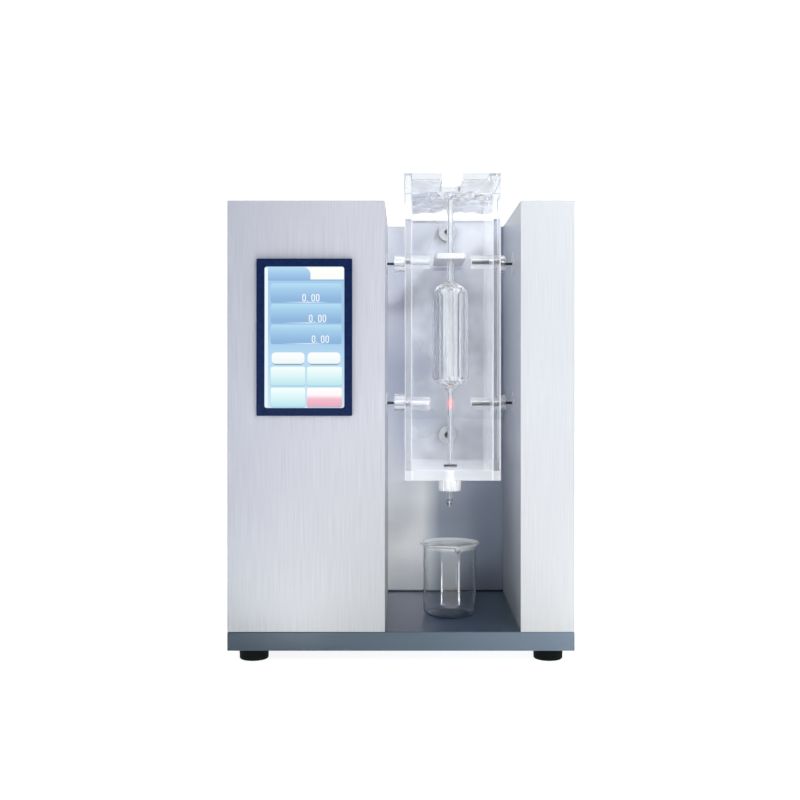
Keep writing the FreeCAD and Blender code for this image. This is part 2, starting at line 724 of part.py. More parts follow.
# Measuring glass: stem, thin bulb, neck and capillary in one blown piece
shoulder_inner = size("shoulder_inner", 4, "rounding where the stem opens")
cone_round = size("cone_round", 8, "rounding between the bulb and its cone")
cone_inner = size("cone_inner", 6, "rounding between the cone and the neck")
stem, bulb, capillary = stem_across / 2, bulb_across / 2, capillary_across / 2
taper_top = neck_end
shoulder_low = bulb_top - bulb_shoulder
cone_low = bulb_bottom - bulb_cone
glass_corners = [
    (capillary_bore / 2, tip_height),
    (tip_across / 2, tip_height),
    (capillary, tip_height + tip_taper),
    (capillary, taper_top - neck_taper),
    (stem, taper_top),
    (stem, cone_low),
    (bulb, bulb_bottom),
    (bulb, shoulder_low),
    (stem, bulb_top),
    (stem, stem_top),
    (stem - glass_wall, stem_top),
    (stem - glass_wall, bulb_top),
    (bulb - glass_wall, shoulder_low),
    (bulb - glass_wall, bulb_bottom),
    (stem - glass_wall, cone_low),
    (stem - glass_wall, taper_top),
    (capillary_bore / 2, taper_top - neck_taper),
]
pipette = turned("pipette", (glass_x, glass_y, deck), glass_corners)
for outer_across, height, turn, grows in (
    (bulb_across, shoulder_low, bulb_round, -1),
    (stem_across, bulb_top, shoulder_inner, 1),
    (bulb_across, bulb_bottom, cone_round, -1),
    (stem_across, cone_low, cone_inner, 1),
):
    rounded(pipette, turn, ring_at(outer_across, height))
    inner_across = outer_across - glass_wall * 2
    rounded(pipette, turn + glass_wall * grows, ring_at(inner_across, height))
node(pipette)

# Holder plate of the glass, on a ledge of the rear wall
holder_clear = size("holder_clear", 2, "holder plate in front of the port flange")
holder_corner = size("holder_corner", 4, "corners of the holder plate")
port_front = wall_in_rear - seal_thick - port_flange_thick
holder_low = (glass_x - holder_wide / 2, glass_y - holder_front)
holder_high = (glass_x + holder_wide / 2, port_front - holder_clear)
holder_hole = [(glass_x, glass_y, stem_across + fit * 2)]
holder_base = deck + holder_height
holder_outline = rectangle(holder_low, holder_high)
pipette_holder = plate("pipette_holder", "XY", holder_base, holder_thick, [holder_outline], holder_hole)
rounded(pipette_holder, holder_corner, along(Vector(0, 0, 1)))
node(pipette_holder)
ledge_low = (holder_low[0], wall_in_rear - ledge_deep, holder_base - ledge_high)
node(box("holder_ledge", ledge_low, (holder_high[0], wall_in_rear, holder_base)))

# Connections of the bath: flange inside, elbow with a spigot in the duct
elbow_across = size("elbow_across", 13, "elbow of a connection")
elbow_drop = size("elbow_drop", 18, "spigot's end below the connection's axis")
nut_corner = 1 / math.cos(math.radians(30))


def port(name, level):
    neck_long = duct_middle + elbow_across / 2 - port_front
    flange, neck = port_flange / 2, port_across / 2
    corners = [(0, 0), (flange, 0), (flange, port_flange_thick), (neck, port_flange_thick)]
    corners += [(neck, neck_long), (0, neck_long)]
    barrel = turned(f"{name}_barrel", (glass_x, port_front, deck + level), corners, "y")
    lowest = deck + level - elbow_drop
    spot = (glass_x, duct_middle, lowest)
    spigot = rod(f"{name}_spigot", spot, "z", spigot_across, elbow_drop)
    bore_long = neck_long - port_across / 2
    bore = rod(f"{name}_bore", (glass_x, port_front, deck + level), "y", port_bore, bore_long)
    drop = rod(f"{name}_drop", spot, "z", spigot_bore, elbow_drop)
    return node(cut(name, fuse(f"{name}_blank", barrel, spigot), bore, drop))


def hexagon(across, up, wide):
    """Corners of a hexagon of a given width across its flats."""
    reach = wide / 2 * nut_corner
    corners = []
    for step in range(6):
        angle = math.radians(60 * step)
        corners.append((across + reach * math.cos(angle), up + reach * math.sin(angle)))
    return corners


port_nut_set = []
port_seal_set = []
for name, level in (("outlet_port", outlet_level), ("inlet_port", inlet_level)):
    port(name, level)
    height = deck + level
    hole = [(glass_x, height, port_across + fit * 2)]
    nut_outline = hexagon(glass_x, height, port_nut)
    port_nut_set.append(plate(f"{name}_nut", "XZ", duct_front, port_nut_thick, [nut_outline], hole))
    ring = [(port_across / 2 + fit, 0), (port_flange / 2, 0)]
    ring += [(port_flange / 2, seal_thick), (port_across / 2 + fit, seal_thick)]
    seal_y = port_front + port_flange_thick
    port_seal_set.append(turned(f"{name}_seal", (glass_x, seal_y, height), ring, "y"))
node(group("port_nuts", port_nut_set))
node(group("port_seals", port_seal_set))

# Level sensors: a clear sleeve through each side wall, a collar outside,
# and an emitter or receiver whose lead goes on into the column
sleeve_long = tank_wide / 2 - sleeve_gap + collar_long
lead_past = size("lead_past", 6, "lead beyond the column's wall")
collar_edge = size("collar_edge", 1, "bevel of a collar's outer edge")
lead_long = (bay_right - bay_left) / 2 + sheet_steel + lead_past - sleeve_gap
bore_radius = sleeve_bore / 2
head_radius = sleeve_bore / 2 - fit
lead_radius = lead_across / 2
collar_set = []
grommet_set = []
for level_name, level in (("upper", upper_level), ("lower", lower_level)):
    for hand, axis, ways in (("left", "-x", -1), ("right", "x", 1)):
        height = deck + level
        name = f"{level_name}_{hand}"
        inner_end = (glass_x + sleeve_gap * ways, glass_y, height)
        sleeve = [(0, 0), (sleeve_across / 2, 0), (sleeve_across / 2, sleeve_long)]
        sleeve += [(bore_radius, sleeve_long), (bore_radius, sleeve_end), (0, sleeve_end)]
        node(turned(f"sleeve_{name}", inner_end, sleeve, axis))
        probe = [(0, sleeve_end + fit), (head_radius, sleeve_end + fit), (head_radius, sleeve_long)]
        probe += [(lead_radius, sleeve_long), (lead_radius, lead_long), (0, lead_long)]
        kind = "emitter" if hand == "left" else "receiver"
        node(turned(f"{kind}_{level_name}", inner_end, probe, axis))
        collar_bore, collar_out = sleeve_across / 2 + fit, collar_across / 2
        collar = [(collar_bore, 0), (collar_out, 0), (collar_out, collar_long - collar_edge)]
        collar += [(collar_out - collar_edge, collar_long), (collar_bore, collar_long)]
        collar_spot = (glass_x + tank_wide / 2 * ways, glass_y, height)
        collar_set.append(turned(f"collar_{name}", collar_spot, collar, axis))
        wall = bay_right if hand == "right" else bay_left
        lead_bore = lead_radius + fit
        ring = [(lead_bore, -grommet_proud), (grommet_across / 2, -grommet_proud)]
        ring += [(grommet_across / 2, 0), (grommet_neck / 2, 0)]
        ring += [(grommet_neck / 2, sheet_steel + grommet_proud), (lead_bore, sheet_steel + grommet_proud)]
        grommet_set.append(turned(f"grommet_{name}", (wall, glass_y, height), ring, axis))
node(group("sleeve_collars", collar_set))
node(group("wall_grommets", grommet_set))

# Beaker with a flared rim and a pouring spout
beaker_spot = (glass_x, glass_y, deck)
glass_out, rim_out = beaker_across / 2, beaker_rim / 2
flare_low = beaker_high - beaker_rim_high
rim_lip = size("rim_lip", 1.4, "upright edge of the rim")
blank_corners = [(0, 0), (glass_out, 0), (glass_out, flare_low), (rim_out, beaker_high - rim_lip)]
blank_corners += [(rim_out, beaker_high), (0, beaker_high)]
beaker_blank = turned("beaker_blank", beaker_spot, blank_corners)
rounded(beaker_blank, beaker_corner, ring_at(beaker_across, 0))
space_corners = [(0, beaker_wall), (glass_out - beaker_wall, beaker_wall)]
space_corners += [(glass_out - beaker_wall, flare_low), (rim_out - beaker_wall, beaker_high)]
space_corners.append((0, beaker_high))
beaker_space = turned("beaker_space", beaker_spot, space_corners)
rounded(beaker_space, beaker_corner - beaker_wall, ring_at(beaker_across - beaker_wall * 2, beaker_wall))


def spout_cone(name, wall, rise):
    """The spout's cone, point down, made narrower by a wall and shorter by a rise."""
    cone = doc.addObject("Part::Cone", name)
    cone.Radius1 = 0
    cone.setExpression("Radius2", formula(spout_across / 2 - wall))
    cone.setExpression("Height", formula(spout_high - rise))
    across = glass_x + spout_out * sine(spout_turn)
    deep = glass_y - spout_out * cosine(spout_turn)
    return place(cone, (across, deep, deck + beaker_high - spout_high + rise))


beaker_solid = fuse("beaker_solid", beaker_blank, spout_cone("spout_outer", 0, 0))
spout_inner = spout_cone("spout_inner", beaker_wall, beaker_wall)
node(cut("beaker", beaker_solid, beaker_space, spout_inner))

# Display: bezel, touch screen with its panel, housing and four clamps
bezel_front = front - display_proud
bezel_spigot = size("bezel_spigot", 4, "bezel's spigot through the sheet")
window_x = display_left + display_wide / 2
window_z = display_low + display_high / 2
window = centred(window_x, window_z, window_wide, window_high)
screen = centred(window_x, window_z, window_wide + screen_lap * 2, window_high + screen_lap * 2)
display_bezel = plate("display_bezel", "XZ", bezel_front, display_proud,
                      [rectangle((display_left, display_low), (display_right, display_top))])
rounded(display_bezel, bezel_round, along(Vector(0, 1, 0)))
spigot_outline = rectangle((display_left + mouth_edge, display_low + mouth_edge),
                           (display_right - mouth_edge, display_top - mouth_edge))
padded(display_bezel, "bezel_spigot_pad", "XZ_Plane", bezel_spigot, [spigot_outline],
       raised=-display_proud, away=True)
screen_pocket_deep = display_proud + bezel_spigot - screen_set_back
pocketed(display_bezel, "bezel_pocket", "XZ_Plane", screen_pocket_deep, [screen],
         raised=-screen_set_back, away=False)
pocketed(display_bezel, "bezel_window", "XZ_Plane", screen_set_back, [window], away=False)
node(display_bezel)
screen_front = bezel_front + screen_set_back
screen_fit = centred(window_x, window_z, window_wide + screen_lap * 2 - fit * 2,
                     window_high + screen_lap * 2 - fit * 2)
node(plate("display_panel", "XZ", screen_front, screen_thick, [screen_fit]))
housing_front = screen_front + screen_thick
node(plate("display_housing", "XZ", housing_front, housing_deep, [screen_fit]))
clamp_wide = size("clamp_wide", 12, "display clamps")
clamp_reach = size("clamp_reach", 10, "clamp beyond the bezel's spigot")
clamp_set = []
spigot_back = front + bezel_spigot
for number, (hand, up) in enumerate(((-1, -1), (-1, 1), (1, -1), (1, 1)), 1):
    near = window_x + (display_wide / 2 - mouth_edge - screen_lap / 2) * hand
    far = window_x + (display_wide / 2 + clamp_reach) * hand
    foot_near = window_x + (display_wide / 2 + mouth_edge) * hand
    middle = window_z + window_high / 4 * up
    ends = (near, far) if hand > 0 else (far, near)
    foot_ends = (foot_near, far) if hand > 0 else (far, foot_near)
    low_z, high_z = middle - clamp_wide / 2, middle + clamp_wide / 2
    arm = box(f"clamp_arm_{number}", (ends[0], spigot_back, low_z),
              (ends[1], spigot_back + sheet_steel, high_z))
    heel = box(f"clamp_heel_{number}", (foot_ends[0], front + sheet_steel, low_z),
               (foot_ends[1], spigot_back, high_z))
    clamp_set.append(fuse(f"clamp_{number}", arm, heel))
node(group("display_clamps", clamp_set))

# Cabinet fan: frame with a spoked seat, bladed rotor and a stamped guard of flat rings
fan_front = cover_front - fan_deep
guard_ring_count = 3
blade_count = 7
fan_square = centred(fan_x, fan_z, fan_wide, fan_wide)
fan_hole = screw_across + fit * 2
fan_holes = [(across, up, fan_hole) for across, up in four_round(fan_x, fan_z, fan_screw_pitch)]
fan_holes.append((fan_x, fan_z, fan_duct))
fan_ring = plate("fan_ring", "XZ", fan_front, fan_deep, [fan_square], fan_holes)
fan_seat_disc = rod("fan_seat_disc", (fan_x, fan_front, fan_z), "y", fan_hub, fan_seat)
reach = fan_duct / 2 + fit
spoke_level = box("spoke_level", (fan_x - reach, fan_front, fan_z - fan_spoke / 2),
                  (fan_x + reach, fan_front + fan_seat, fan_z + fan_spoke / 2))
spoke_upright = box("spoke_upright", (fan_x - fan_spoke / 2, fan_front, fan_z - reach),
                    (fan_x + fan_spoke / 2, fan_front + fan_seat, fan_z + reach))
fan_solid = fuse("fan_solid", fan_ring, fan_seat_disc, spoke_level, spoke_upright)
shaft_hole = shaft_across + shaft_fit * 2
fan_bearing = rod("fan_bearing", (fan_x, fan_front, fan_z), "y", shaft_hole, fan_seat)
node(cut("fan_frame", fan_solid, fan_bearing))

hub_high = fan_deep - fan_seat - running * 2
hub = fan_hub / 2
shaft = shaft_across / 2
rotor_corners = [(0, -fan_seat), (shaft, -fan_seat), (shaft, 0), (hub, 0), (hub, hub_high), (0, hub_high)]
rotor_spot = (fan_x, fan_front + fan_seat + running, fan_z)
fan_rotor = turned("fan_rotor", rotor_spot, rotor_corners, "y")
blade_root = hub - blade_thick
lean = blade_slant / 2
blade_outline = [(-lean, blade_thick), (blade_thick - lean, blade_thick)]
blade_outline += [(lean + blade_thick, hub_high - blade_thick), (lean, hub_high - blade_thick)]
blade = padded(fan_rotor, "fan_blade", "XZ_Plane", blade_reach - blade_root, [blade_outline],
               raised=blade_root)
repeated(fan_rotor, blade, blade_count)
node(fan_rotor)

guard_front = rear + guard_proud - guard_wire
guard_back = rear + guard_proud
strip = guard_wire / 2
guard_parts = []
for number in range(1, guard_ring_count + 1):
    ring_middle = guard_leg / guard_ring_count * number
    hoop_corners = rectangle((ring_middle - strip, 0), (ring_middle + strip, guard_wire))
    guard_parts.append(turned(f"guard_hoop_{number}", (fan_x, guard_front, fan_z), hoop_corners, "y"))
guard_parts.append(box("guard_level", (fan_x - guard_leg, guard_front, fan_z - strip),
                       (fan_x + guard_leg, guard_back, fan_z + strip)))
guard_parts.append(box("guard_upright", (fan_x - strip, guard_front, fan_z - guard_leg),
                       (fan_x + strip, guard_back, fan_z + guard_leg)))
for number, (across, up) in enumerate(((-1, 0), (1, 0), (0, -1), (0, 1)), 1):
    leg_x, leg_z = fan_x + guard_leg * across, fan_z + guard_leg * up
    guard_parts.append(box(f"guard_leg_{number}", (leg_x - strip, rear, leg_z - strip),
                           (leg_x + strip, guard_back, leg_z + strip)))
node(fuse("fan_guard", *guard_parts))

# Circulation pump: motor, volute, cover with the suction spigot, impeller
vane_count = 6
vane_high = size("vane_high", 8, "height of an impeller vane")
vane_thick = size("vane_thick", 1.5, "thickness of an impeller vane")
impeller_across = size("impeller_across", 30, "diameter of the impeller")
disc_thick = size("disc_thick", 2, "disc of the impeller")
shaft_seat = size("shaft_seat", 10, "depth of the shaft hole in the motor")
shaft_end = size("shaft_end", 1, "gap under the end of the shaft")
pump_x = glass_x - pump_side
heater_x = glass_x + heater_side
motor_top = deck + motor_high
volute_floor = motor_top + pump_wall
volute_top = motor_top + pump_high
flow_z = motor_top + pump_high / 2 + pump_wall / 2
motor = motor_across / 2
shaft_room = shaft + shaft_fit
motor_corners = [(0, 0), (motor, 0), (motor, motor_high), (shaft_room, motor_high)]
motor_corners += [(shaft_room, motor_high - shaft_seat), (0, motor_high - shaft_seat)]
node(turned("pump_motor", (pump_x, duct_middle, deck), motor_corners))
volute, chamber = pump_across / 2, pump_across / 2 - pump_wall
volute_corners = [(shaft_room, 0), (volute, 0), (volute, pump_high), (chamber, pump_high)]
volute_corners += [(chamber, pump_wall), (shaft_room, pump_wall)]
volute_cup = turned("volute_cup", (pump_x, duct_middle, motor_top), volute_corners)
flow_spot = (pump_x + volute - pump_wall / 2, duct_middle, flow_z)
flow_spigot = rod("flow_spigot", flow_spot, "x", spigot_across, spigot_long + pump_wall / 2)
flow_start = (pump_x + chamber - fit, duct_middle, flow_z)
flow_bore = rod("flow_bore", flow_start, "x", spigot_bore, spigot_long + pump_wall + fit)
node(cut("pump_body", fuse("volute_blank", volute_cup, flow_spigot), flow_bore))
neck, neck_bore = spigot_across / 2, spigot_bore / 2
pump_cover_corners = [(neck_bore, 0), (volute, 0), (volute, pump_lid), (neck, pump_lid)]
pump_cover_corners += [(neck, pump_lid + spigot_long), (neck_bore, pump_lid + spigot_long)]
node(turned("pump_cover", (pump_x, duct_middle, volute_top), pump_cover_corners))
wheel = impeller_across / 2
shaft_down = pump_wall + running + shaft_seat - shaft_end
wheel_corners = [(0, -shaft_down), (shaft, -shaft_down), (shaft, 0), (wheel, 0)]
wheel_corners += [(wheel, disc_thick), (0, disc_thick)]
pump_impeller = turned("pump_impeller", (pump_x, duct_middle, volute_floor + running), wheel_corners)
vane_in = size("vane_in", 3.75, "start of a vane from the impeller's axis")
vane_out = size("vane_out", 13.8, "end of a vane from the impeller's axis")
vane_lean = size("vane_lean", 5, "how far a vane leans back over its length")
vane_outline = [(vane_in, 0), (vane_out, -vane_lean)]
vane_outline += [(vane_out, vane_thick - vane_lean), (vane_in, vane_thick)]
vane = padded(pump_impeller, "impeller_vane", "XY_Plane", disc_thick + vane_high, [vane_outline])
repeated(pump_impeller, vane, vane_count)
node(pump_impeller)

# Heater vessel on its foot ring, with a probe in its top
vessel_wall = size("vessel_wall", 2, "wall of the heater vessel")
probe_side = size("probe_side", 10, "probe from the vessel's axis")
probe_head = size("probe_head", 8, "head of the temperature probe")
vessel = heater_across / 2
vessel_top = heater_leg + heater_high
vessel_corners = [
    (vessel - vessel_wall, 0), (vessel, 0), (vessel, vessel_top), (neck, vessel_top),
    (neck, vessel_top + spigot_long), (neck_bore, vessel_top + spigot_long),
    (neck_bore, vessel_top - vessel_wall), (vessel - vessel_wall, vessel_top - vessel_wall),
    (vessel - vessel_wall, heater_leg + vessel_wall), (0, heater_leg + vessel_wall),
    (0, heater_leg), (vessel - vessel_wall, heater_leg),
]
vessel_round = turned("vessel_round", (heater_x, duct_middle, deck), vessel_corners)
vessel_left = heater_x - vessel
vessel_spigot_spot = (vessel_left + vessel_wall / 2, duct_middle, flow_z)
vessel_spigot = rod("vessel_spigot", vessel_spigot_spot, "-x", spigot_across, spigot_long + vessel_wall / 2)
vessel_bore_spot = (vessel_left + vessel_wall + fit, duct_middle, flow_z)
vessel_bore = rod("vessel_bore", vessel_bore_spot, "-x", spigot_bore, spigot_long + vessel_wall + fit)
probe_spot = (heater_x + probe_side, duct_middle, deck + vessel_top)
probe_hole_spot = (probe_spot[0], probe_spot[1], deck + vessel_top - vessel_wall)
probe_hole = rod("probe_hole", probe_hole_spot, "z", probe_across + fit * 2, vessel_wall)
vessel_blank = fuse("vessel_blank", vessel_round, vessel_spigot)
node(cut("heater_vessel", vessel_blank, vessel_bore, probe_hole))
thin, wide = probe_across / 2, probe_head / 2
probe_corners = [(0, -probe_long), (thin, -probe_long), (thin, 0), (wide, 0), (wide, wide), (0, wide)]
node(turned("temperature_probe", probe_spot, probe_corners))

# Hoses pushed over the spigots: straight runs joined by tangent arcs
hose_lap = size("hose_lap", 7, "hose over a spigot")
bend_share = 0.45


def hose_path(points):
    """One wire of runs and arcs, and the radii of the arcs."""
    edges, radii = [], []
    start = points[0]
    for before, corner, after in zip(points, points[1:], points[2:]):
        back, on = (before - corner), (after - corner)
        shorter = min(back.Length, on.Length)
        back.normalize()
        on.normalize()
        half_turn = (math.pi - back.getAngle(on)) / 2
        reach = bend_share * shorter
        first, last = corner + back * reach, corner + on * reach
        radii.append(reach / math.tan(half_turn))
        inward = (back + on).normalize()
        centre_off = radii[-1] / math.cos(half_turn)
        crown = corner + inward * (centre_off - radii[-1])
        edges.append(Part.LineSegment(start, first).toShape())
        edges.append(Part.Arc(first, crown, last).toShape())
        start = last
    edges.append(Part.LineSegment(start, points[-1]).toShape())
    return Part.Wire(edges), radii


def swept(points, across):
    path, radii = hose_path(points)
    ring = Part.Circle(points[0], points[1] - points[0], plain(across) / 2)
    solid = path.makePipeShell([Part.Wire(ring.toShape())], True, False)
    return solid, path.Length, radii


def hose(name, stations):
    """A hose along (x, z) stations in the duct's middle plane."""
    points = [Vector(plain(across), plain(duct_middle), plain(up)) for across, up in stations]
    outside, length, radii = swept(points, hose_across)
    inside, _, _ = swept(points, spigot_across + fit * 2)
    made = doc.addObject("Part::Feature", name)
    made.Shape = outside.cut(inside)
    print(name, "length", round(length, 1), "radii", [round(radius, 1) for radius in radii])
    return node(made)


outlet_tip = deck + outlet_level - elbow_drop
inlet_tip = deck + inlet_level - elbow_drop
suction_tip = volute_top + pump_lid + spigot_long
vessel_tip = deck + vessel_top + spigot_long
supply_mid = (outlet_tip + suction_tip) / 2
return_mid = (inlet_tip + vessel_tip) / 2
supply_slope = size("supply_slope", 120, "height of the supply hose's slanted run")
return_slope = size("return_slope", 38, "height of the return hose's slanted run")
hose("hose_supply", [
    (glass_x, outlet_tip + hose_lap),
    (glass_x, supply_mid + supply_slope),
    (pump_x, supply_mid),
    (pump_x, suction_tip - hose_lap),
])
hose("hose_return", [
    (glass_x, inlet_tip + hose_lap),
    (glass_x, return_mid + return_slope / 2),
    (heater_x, return_mid - return_slope / 2),
    (heater_x, vessel_tip - hose_lap),
])
link_low = pump_x + volute + fit
link_spot = (link_low, duct_middle, flow_z)
link_long = vessel_left - fit - link_low
link_outside = rod("link_outside", link_spot, "x", hose_across, link_long)
link_inside = rod("link_inside", link_spot, "x", spigot_across + fit * 2, link_long)
node(cut("hose_link", link_outside, link_inside))

# Electronics on the cabinet's floor and outer wall
supply_gap = size("supply_gap", 24, "power supply from the cabinet's outer wall")
supply_back = size("supply_back", 70, "power supply from the rear cover")
board_back = size("board_back", 60, "control board from the rear cover")
stand_across = size("stand_across", 6, "diameter of a standoff")
wall_inside = -side + sheet_steel
supply_low = (wall_inside + supply_gap, cover_front - supply_back - supply_deep, deck + sheet_steel)
supply_sizes = (supply_wide, supply_deep, supply_high)
node(box("power_supply", supply_low, [start + long for start, long in zip(supply_low, supply_sizes)]))
board_x = wall_inside + board_stand
board_y = cover_front - board_back - board_deep
board_z = deck + board_height
board_outline = rectangle((board_y, board_z), (board_y + board_deep, board_z + board_high))
board = plate("circuit_board", "YZ", board_x, board_thick, [board_outline])
board_parts = [board]
chip_high = size("chip_high", 3, "processor on the board")
chip_wide = size("chip_wide", 28, "processor on the board")
plug_high = size("plug_high", 12, "connectors on the board")
face = board_x + board_thick
chip_y, chip_z = board_y + board_deep / 2, board_z + board_high / 2
chip_end = (face + chip_high, chip_y + chip_wide, chip_z + chip_wide)
board_parts.append(box("board_chip", (face, chip_y, chip_z), chip_end))
for number in range(4):
    plug_y = board_y + board_inset * 2 + chip_wide * number
    low = (face, plug_y, board_z + board_inset)
    high = (face + plug_high, plug_y + chip_wide / 2, board_z + board_inset * 2)
    board_parts.append(box(f"board_plug_{number + 1}", low, high))
for number, (deep, up) in enumerate(((0, 0), (0, 1), (1, 0), (1, 1)), 1):
    stand_y = board_y + board_inset + (board_deep - board_inset * 2) * deep
    stand_z = board_z + board_inset + (board_high - board_inset * 2) * up
    stand_spot = (wall_inside, stand_y, stand_z)
    board_parts.append(rod(f"standoff_{number}", stand_spot, "x", stand_across, board_stand))
node(fuse("control_board", *board_parts))

# Mains inlet with three blades in its socket
socket_wide = size("socket_wide", 24.5, "socket of the mains inlet")
socket_high = size("socket_high", 16.5, "socket of the mains inlet")
socket_deep = size("socket_deep", 17, "depth of the socket")
blade_long = size("blade_long", 10, "length of a contact blade")
contact_wide = size("contact_wide", 2, "width of a contact blade")
contact_high = size("contact_high", 4, "height of a contact blade")
contact_pitch = size("contact_pitch", 7, "distance between the contact blades")
contact_rise = size("contact_rise", 2.1, "middle blade over the socket's axis, the others under it")


def rear_box(name, across, up, wide, high, start, end):
    low = (across - wide / 2, start, up - high / 2)
    return box(name, low, (across + wide / 2, end, up + high / 2))


rear_face = rear + inlet_proud
inlet_flange = rear_box("inlet_flange", inlet_x, inlet_z, inlet_wide, inlet_high, rear, rear_face)
inlet_back = rear - inlet_deep
inlet_body = rear_box("inlet_body", inlet_x, inlet_z, inlet_body_wide, inlet_body_high, inlet_back, rear)
socket_end = rear_face - socket_deep
socket = rear_box("inlet_socket", inlet_x, inlet_z, socket_wide, socket_high, socket_end, rear_face)
inlet_shell = cut("inlet_shell", fuse("inlet_blank", inlet_flange, inlet_body), socket)
contact_parts = [inlet_shell]
for number, (across, up) in enumerate(((-1, -1), (0, 1), (1, -1)), 1):
    spot_x, spot_z = inlet_x + contact_pitch * across, inlet_z + contact_rise * up
    contact_parts.append(rear_box(f"inlet_contact_{number}", spot_x, spot_z, contact_wide, contact_high,
                                  socket_end - fit, socket_end + blade_long))
node(fuse("power_inlet", *contact_parts))

# Rocker switch: its face has two planes that meet over the pivot
rocker_half = size("rocker_half", 4.8, "half the height of the rocker's face")
rocker_wide = size("rocker_wide", 14, "width of the rocker")
rocker_angle = size("rocker_angle", 10, "degrees of the rocker to each side of its middle")
pivot_back = size("pivot_back", 2, "pivot behind the rocker's ridge")
rocker_proud = size("rocker_proud", 0.04, "rocker's ridge over the switch's flange")
pivot_bite = size("pivot_bite", 1.2, "pivot pin in the housing's wall")
pivot_y = rear_face - pivot_back + rocker_proud
cavity_half = rocker_half + 1
cavity_wide = rocker_wide + running * 2
switch_flange = rear_box("switch_flange", switch_x, inlet_z, switch_wide, switch_high, rear, rear_face)
switch_back = pivot_y - rocker_thick - sheet_steel
switch_body = rear_box("switch_body", switch_x, inlet_z, switch_body_wide, switch_body_high,
                       switch_back, rear)
cavity = rear_box("switch_cavity", switch_x, inlet_z, cavity_wide, cavity_half * 2,
                  pivot_y - rocker_thick, rear_face)
pin_long = rocker_wide + (running + pivot_bite) * 2
pin_spot = (switch_x - pin_long / 2, pivot_y, inlet_z)
pin_room_spot = (pin_spot[0] - fit, pivot_y, inlet_z)
pin_room = rod("rocker_pin_room", pin_room_spot, "x", rocker_round + shaft_fit * 2, pin_long + fit * 2)
node(cut("switch_housing", fuse("switch_blank", switch_flange, switch_body), cavity, pin_room))
rocker_block = body("rocker_block", (switch_x - rocker_wide / 2, pivot_y, inlet_z))
rocker_block.Placement.Rotation = FreeCAD.Rotation(Vector(1, 0, 0), plain(rocker_angle))
rise = rocker_half * sine(rocker_angle)
arm = rocker_half * cosine(rocker_angle)
tail = size("rocker_tail", 3.6, "rocker in front of its pivot")
rocker_outline = [(pivot_back + rise, arm), (pivot_back, 0), (pivot_back + rise, -arm)]
rocker_outline += [(0, -arm), (-tail, -rocker_half / 2), (-tail, rocker_half / 2), (0, arm)]
padded(rocker_block, "rocker_pad", "YZ_Plane", rocker_wide, [rocker_outline])
rocker_pin = rod("rocker_pin", pin_spot, "x", rocker_round, pin_long)
node(fuse("switch_rocker", rocker_block, rocker_pin))

# Nothing is written unless every object is sound
doc.recompute()
for thing in doc.Objects:
    if "Invalid" in thing.State or "Error" in thing.State:
        raise RuntimeError(f"{thing.Name} failed: {thing.State}")
for thing in nodes:
    if thing.Shape.isNull() or not thing.Shape.isValid() or thing.Shape.Volume <= 0:
        raise RuntimeError(f"{thing.Label} has no sound solid")
os.makedirs("parts", exist_ok=True)
for thing in nodes:
    thing.Shape.exportStep(f"parts/{thing.Label}.step")
whole = Part.makeCompound([thing.Shape for thing in nodes]).BoundBox
print(len(nodes), "sub-parts,", "box", [round(value, 2) for value in (
    whole.XMin, whole.XMax, whole.YMin, whole.YMax, whole.ZMin, whole.ZMax)])
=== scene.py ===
# %% [markdown]
# A digital viscometer. The solids come ready made and in place, in metres,
# with Z up and the front towards -Y. This file gives them their finishes,
# fills the bath with water, draws the touch screen and lights the whole.

# %% Load the solids
import math

import bmesh
import bpy
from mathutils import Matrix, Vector


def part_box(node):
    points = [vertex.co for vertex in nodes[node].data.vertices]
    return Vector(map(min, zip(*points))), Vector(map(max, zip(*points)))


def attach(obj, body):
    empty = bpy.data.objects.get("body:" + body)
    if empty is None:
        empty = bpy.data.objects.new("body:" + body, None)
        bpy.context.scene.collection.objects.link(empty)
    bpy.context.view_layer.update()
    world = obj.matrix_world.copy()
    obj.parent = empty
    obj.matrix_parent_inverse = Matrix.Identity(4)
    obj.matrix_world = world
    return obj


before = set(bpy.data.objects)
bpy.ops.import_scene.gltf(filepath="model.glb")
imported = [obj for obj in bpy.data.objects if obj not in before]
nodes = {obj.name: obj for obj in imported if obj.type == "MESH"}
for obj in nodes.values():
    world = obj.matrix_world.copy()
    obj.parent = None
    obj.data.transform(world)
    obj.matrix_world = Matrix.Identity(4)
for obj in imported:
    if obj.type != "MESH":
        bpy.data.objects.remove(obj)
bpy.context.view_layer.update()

# %% [markdown]
# Colours are written as sRGB hex values, as a paint chart gives them, and one
# function turns them to the linear values that the shaders work in. Sizes are
# written in millimetres and turned to metres where they are used. The places
# that the colours fade between are the body's own edges. Two faces count as one
# where they are nearer than NEAR.

# %% Units, places and colours
MM = 0.001
NEAR = 0.05 * MM
BODY_LEFT, BODY_RIGHT = -184, 184
BAY_LEFT, BAY_RIGHT = -17, 127
DECK, COLUMN_TOP = 34, 491


def colour(text, alpha=1.0):
    """An sRGB hex colour as linear red, green, blue and alpha."""
    shares = [int(text[place:place + 2], 16) / 255 for place in (1, 3, 5)]
    linear = [share / 12.92 if share <= 0.04045 else ((share + 0.055) / 1.055) ** 2.4 for share in shares]
    return (*linear, alpha)


# %% [markdown]
# Every finish is a small node tree. One function makes a material with its
# Principled shader, and one adds any node with its settings and its links. The
# others add the nodes used most and give back the output to link from, as
# (node, output), so that each finish below reads as a list of what it is made of.

# %% Material helpers
def shader_of(material):
    return material.node_tree.nodes["Principled BSDF"]


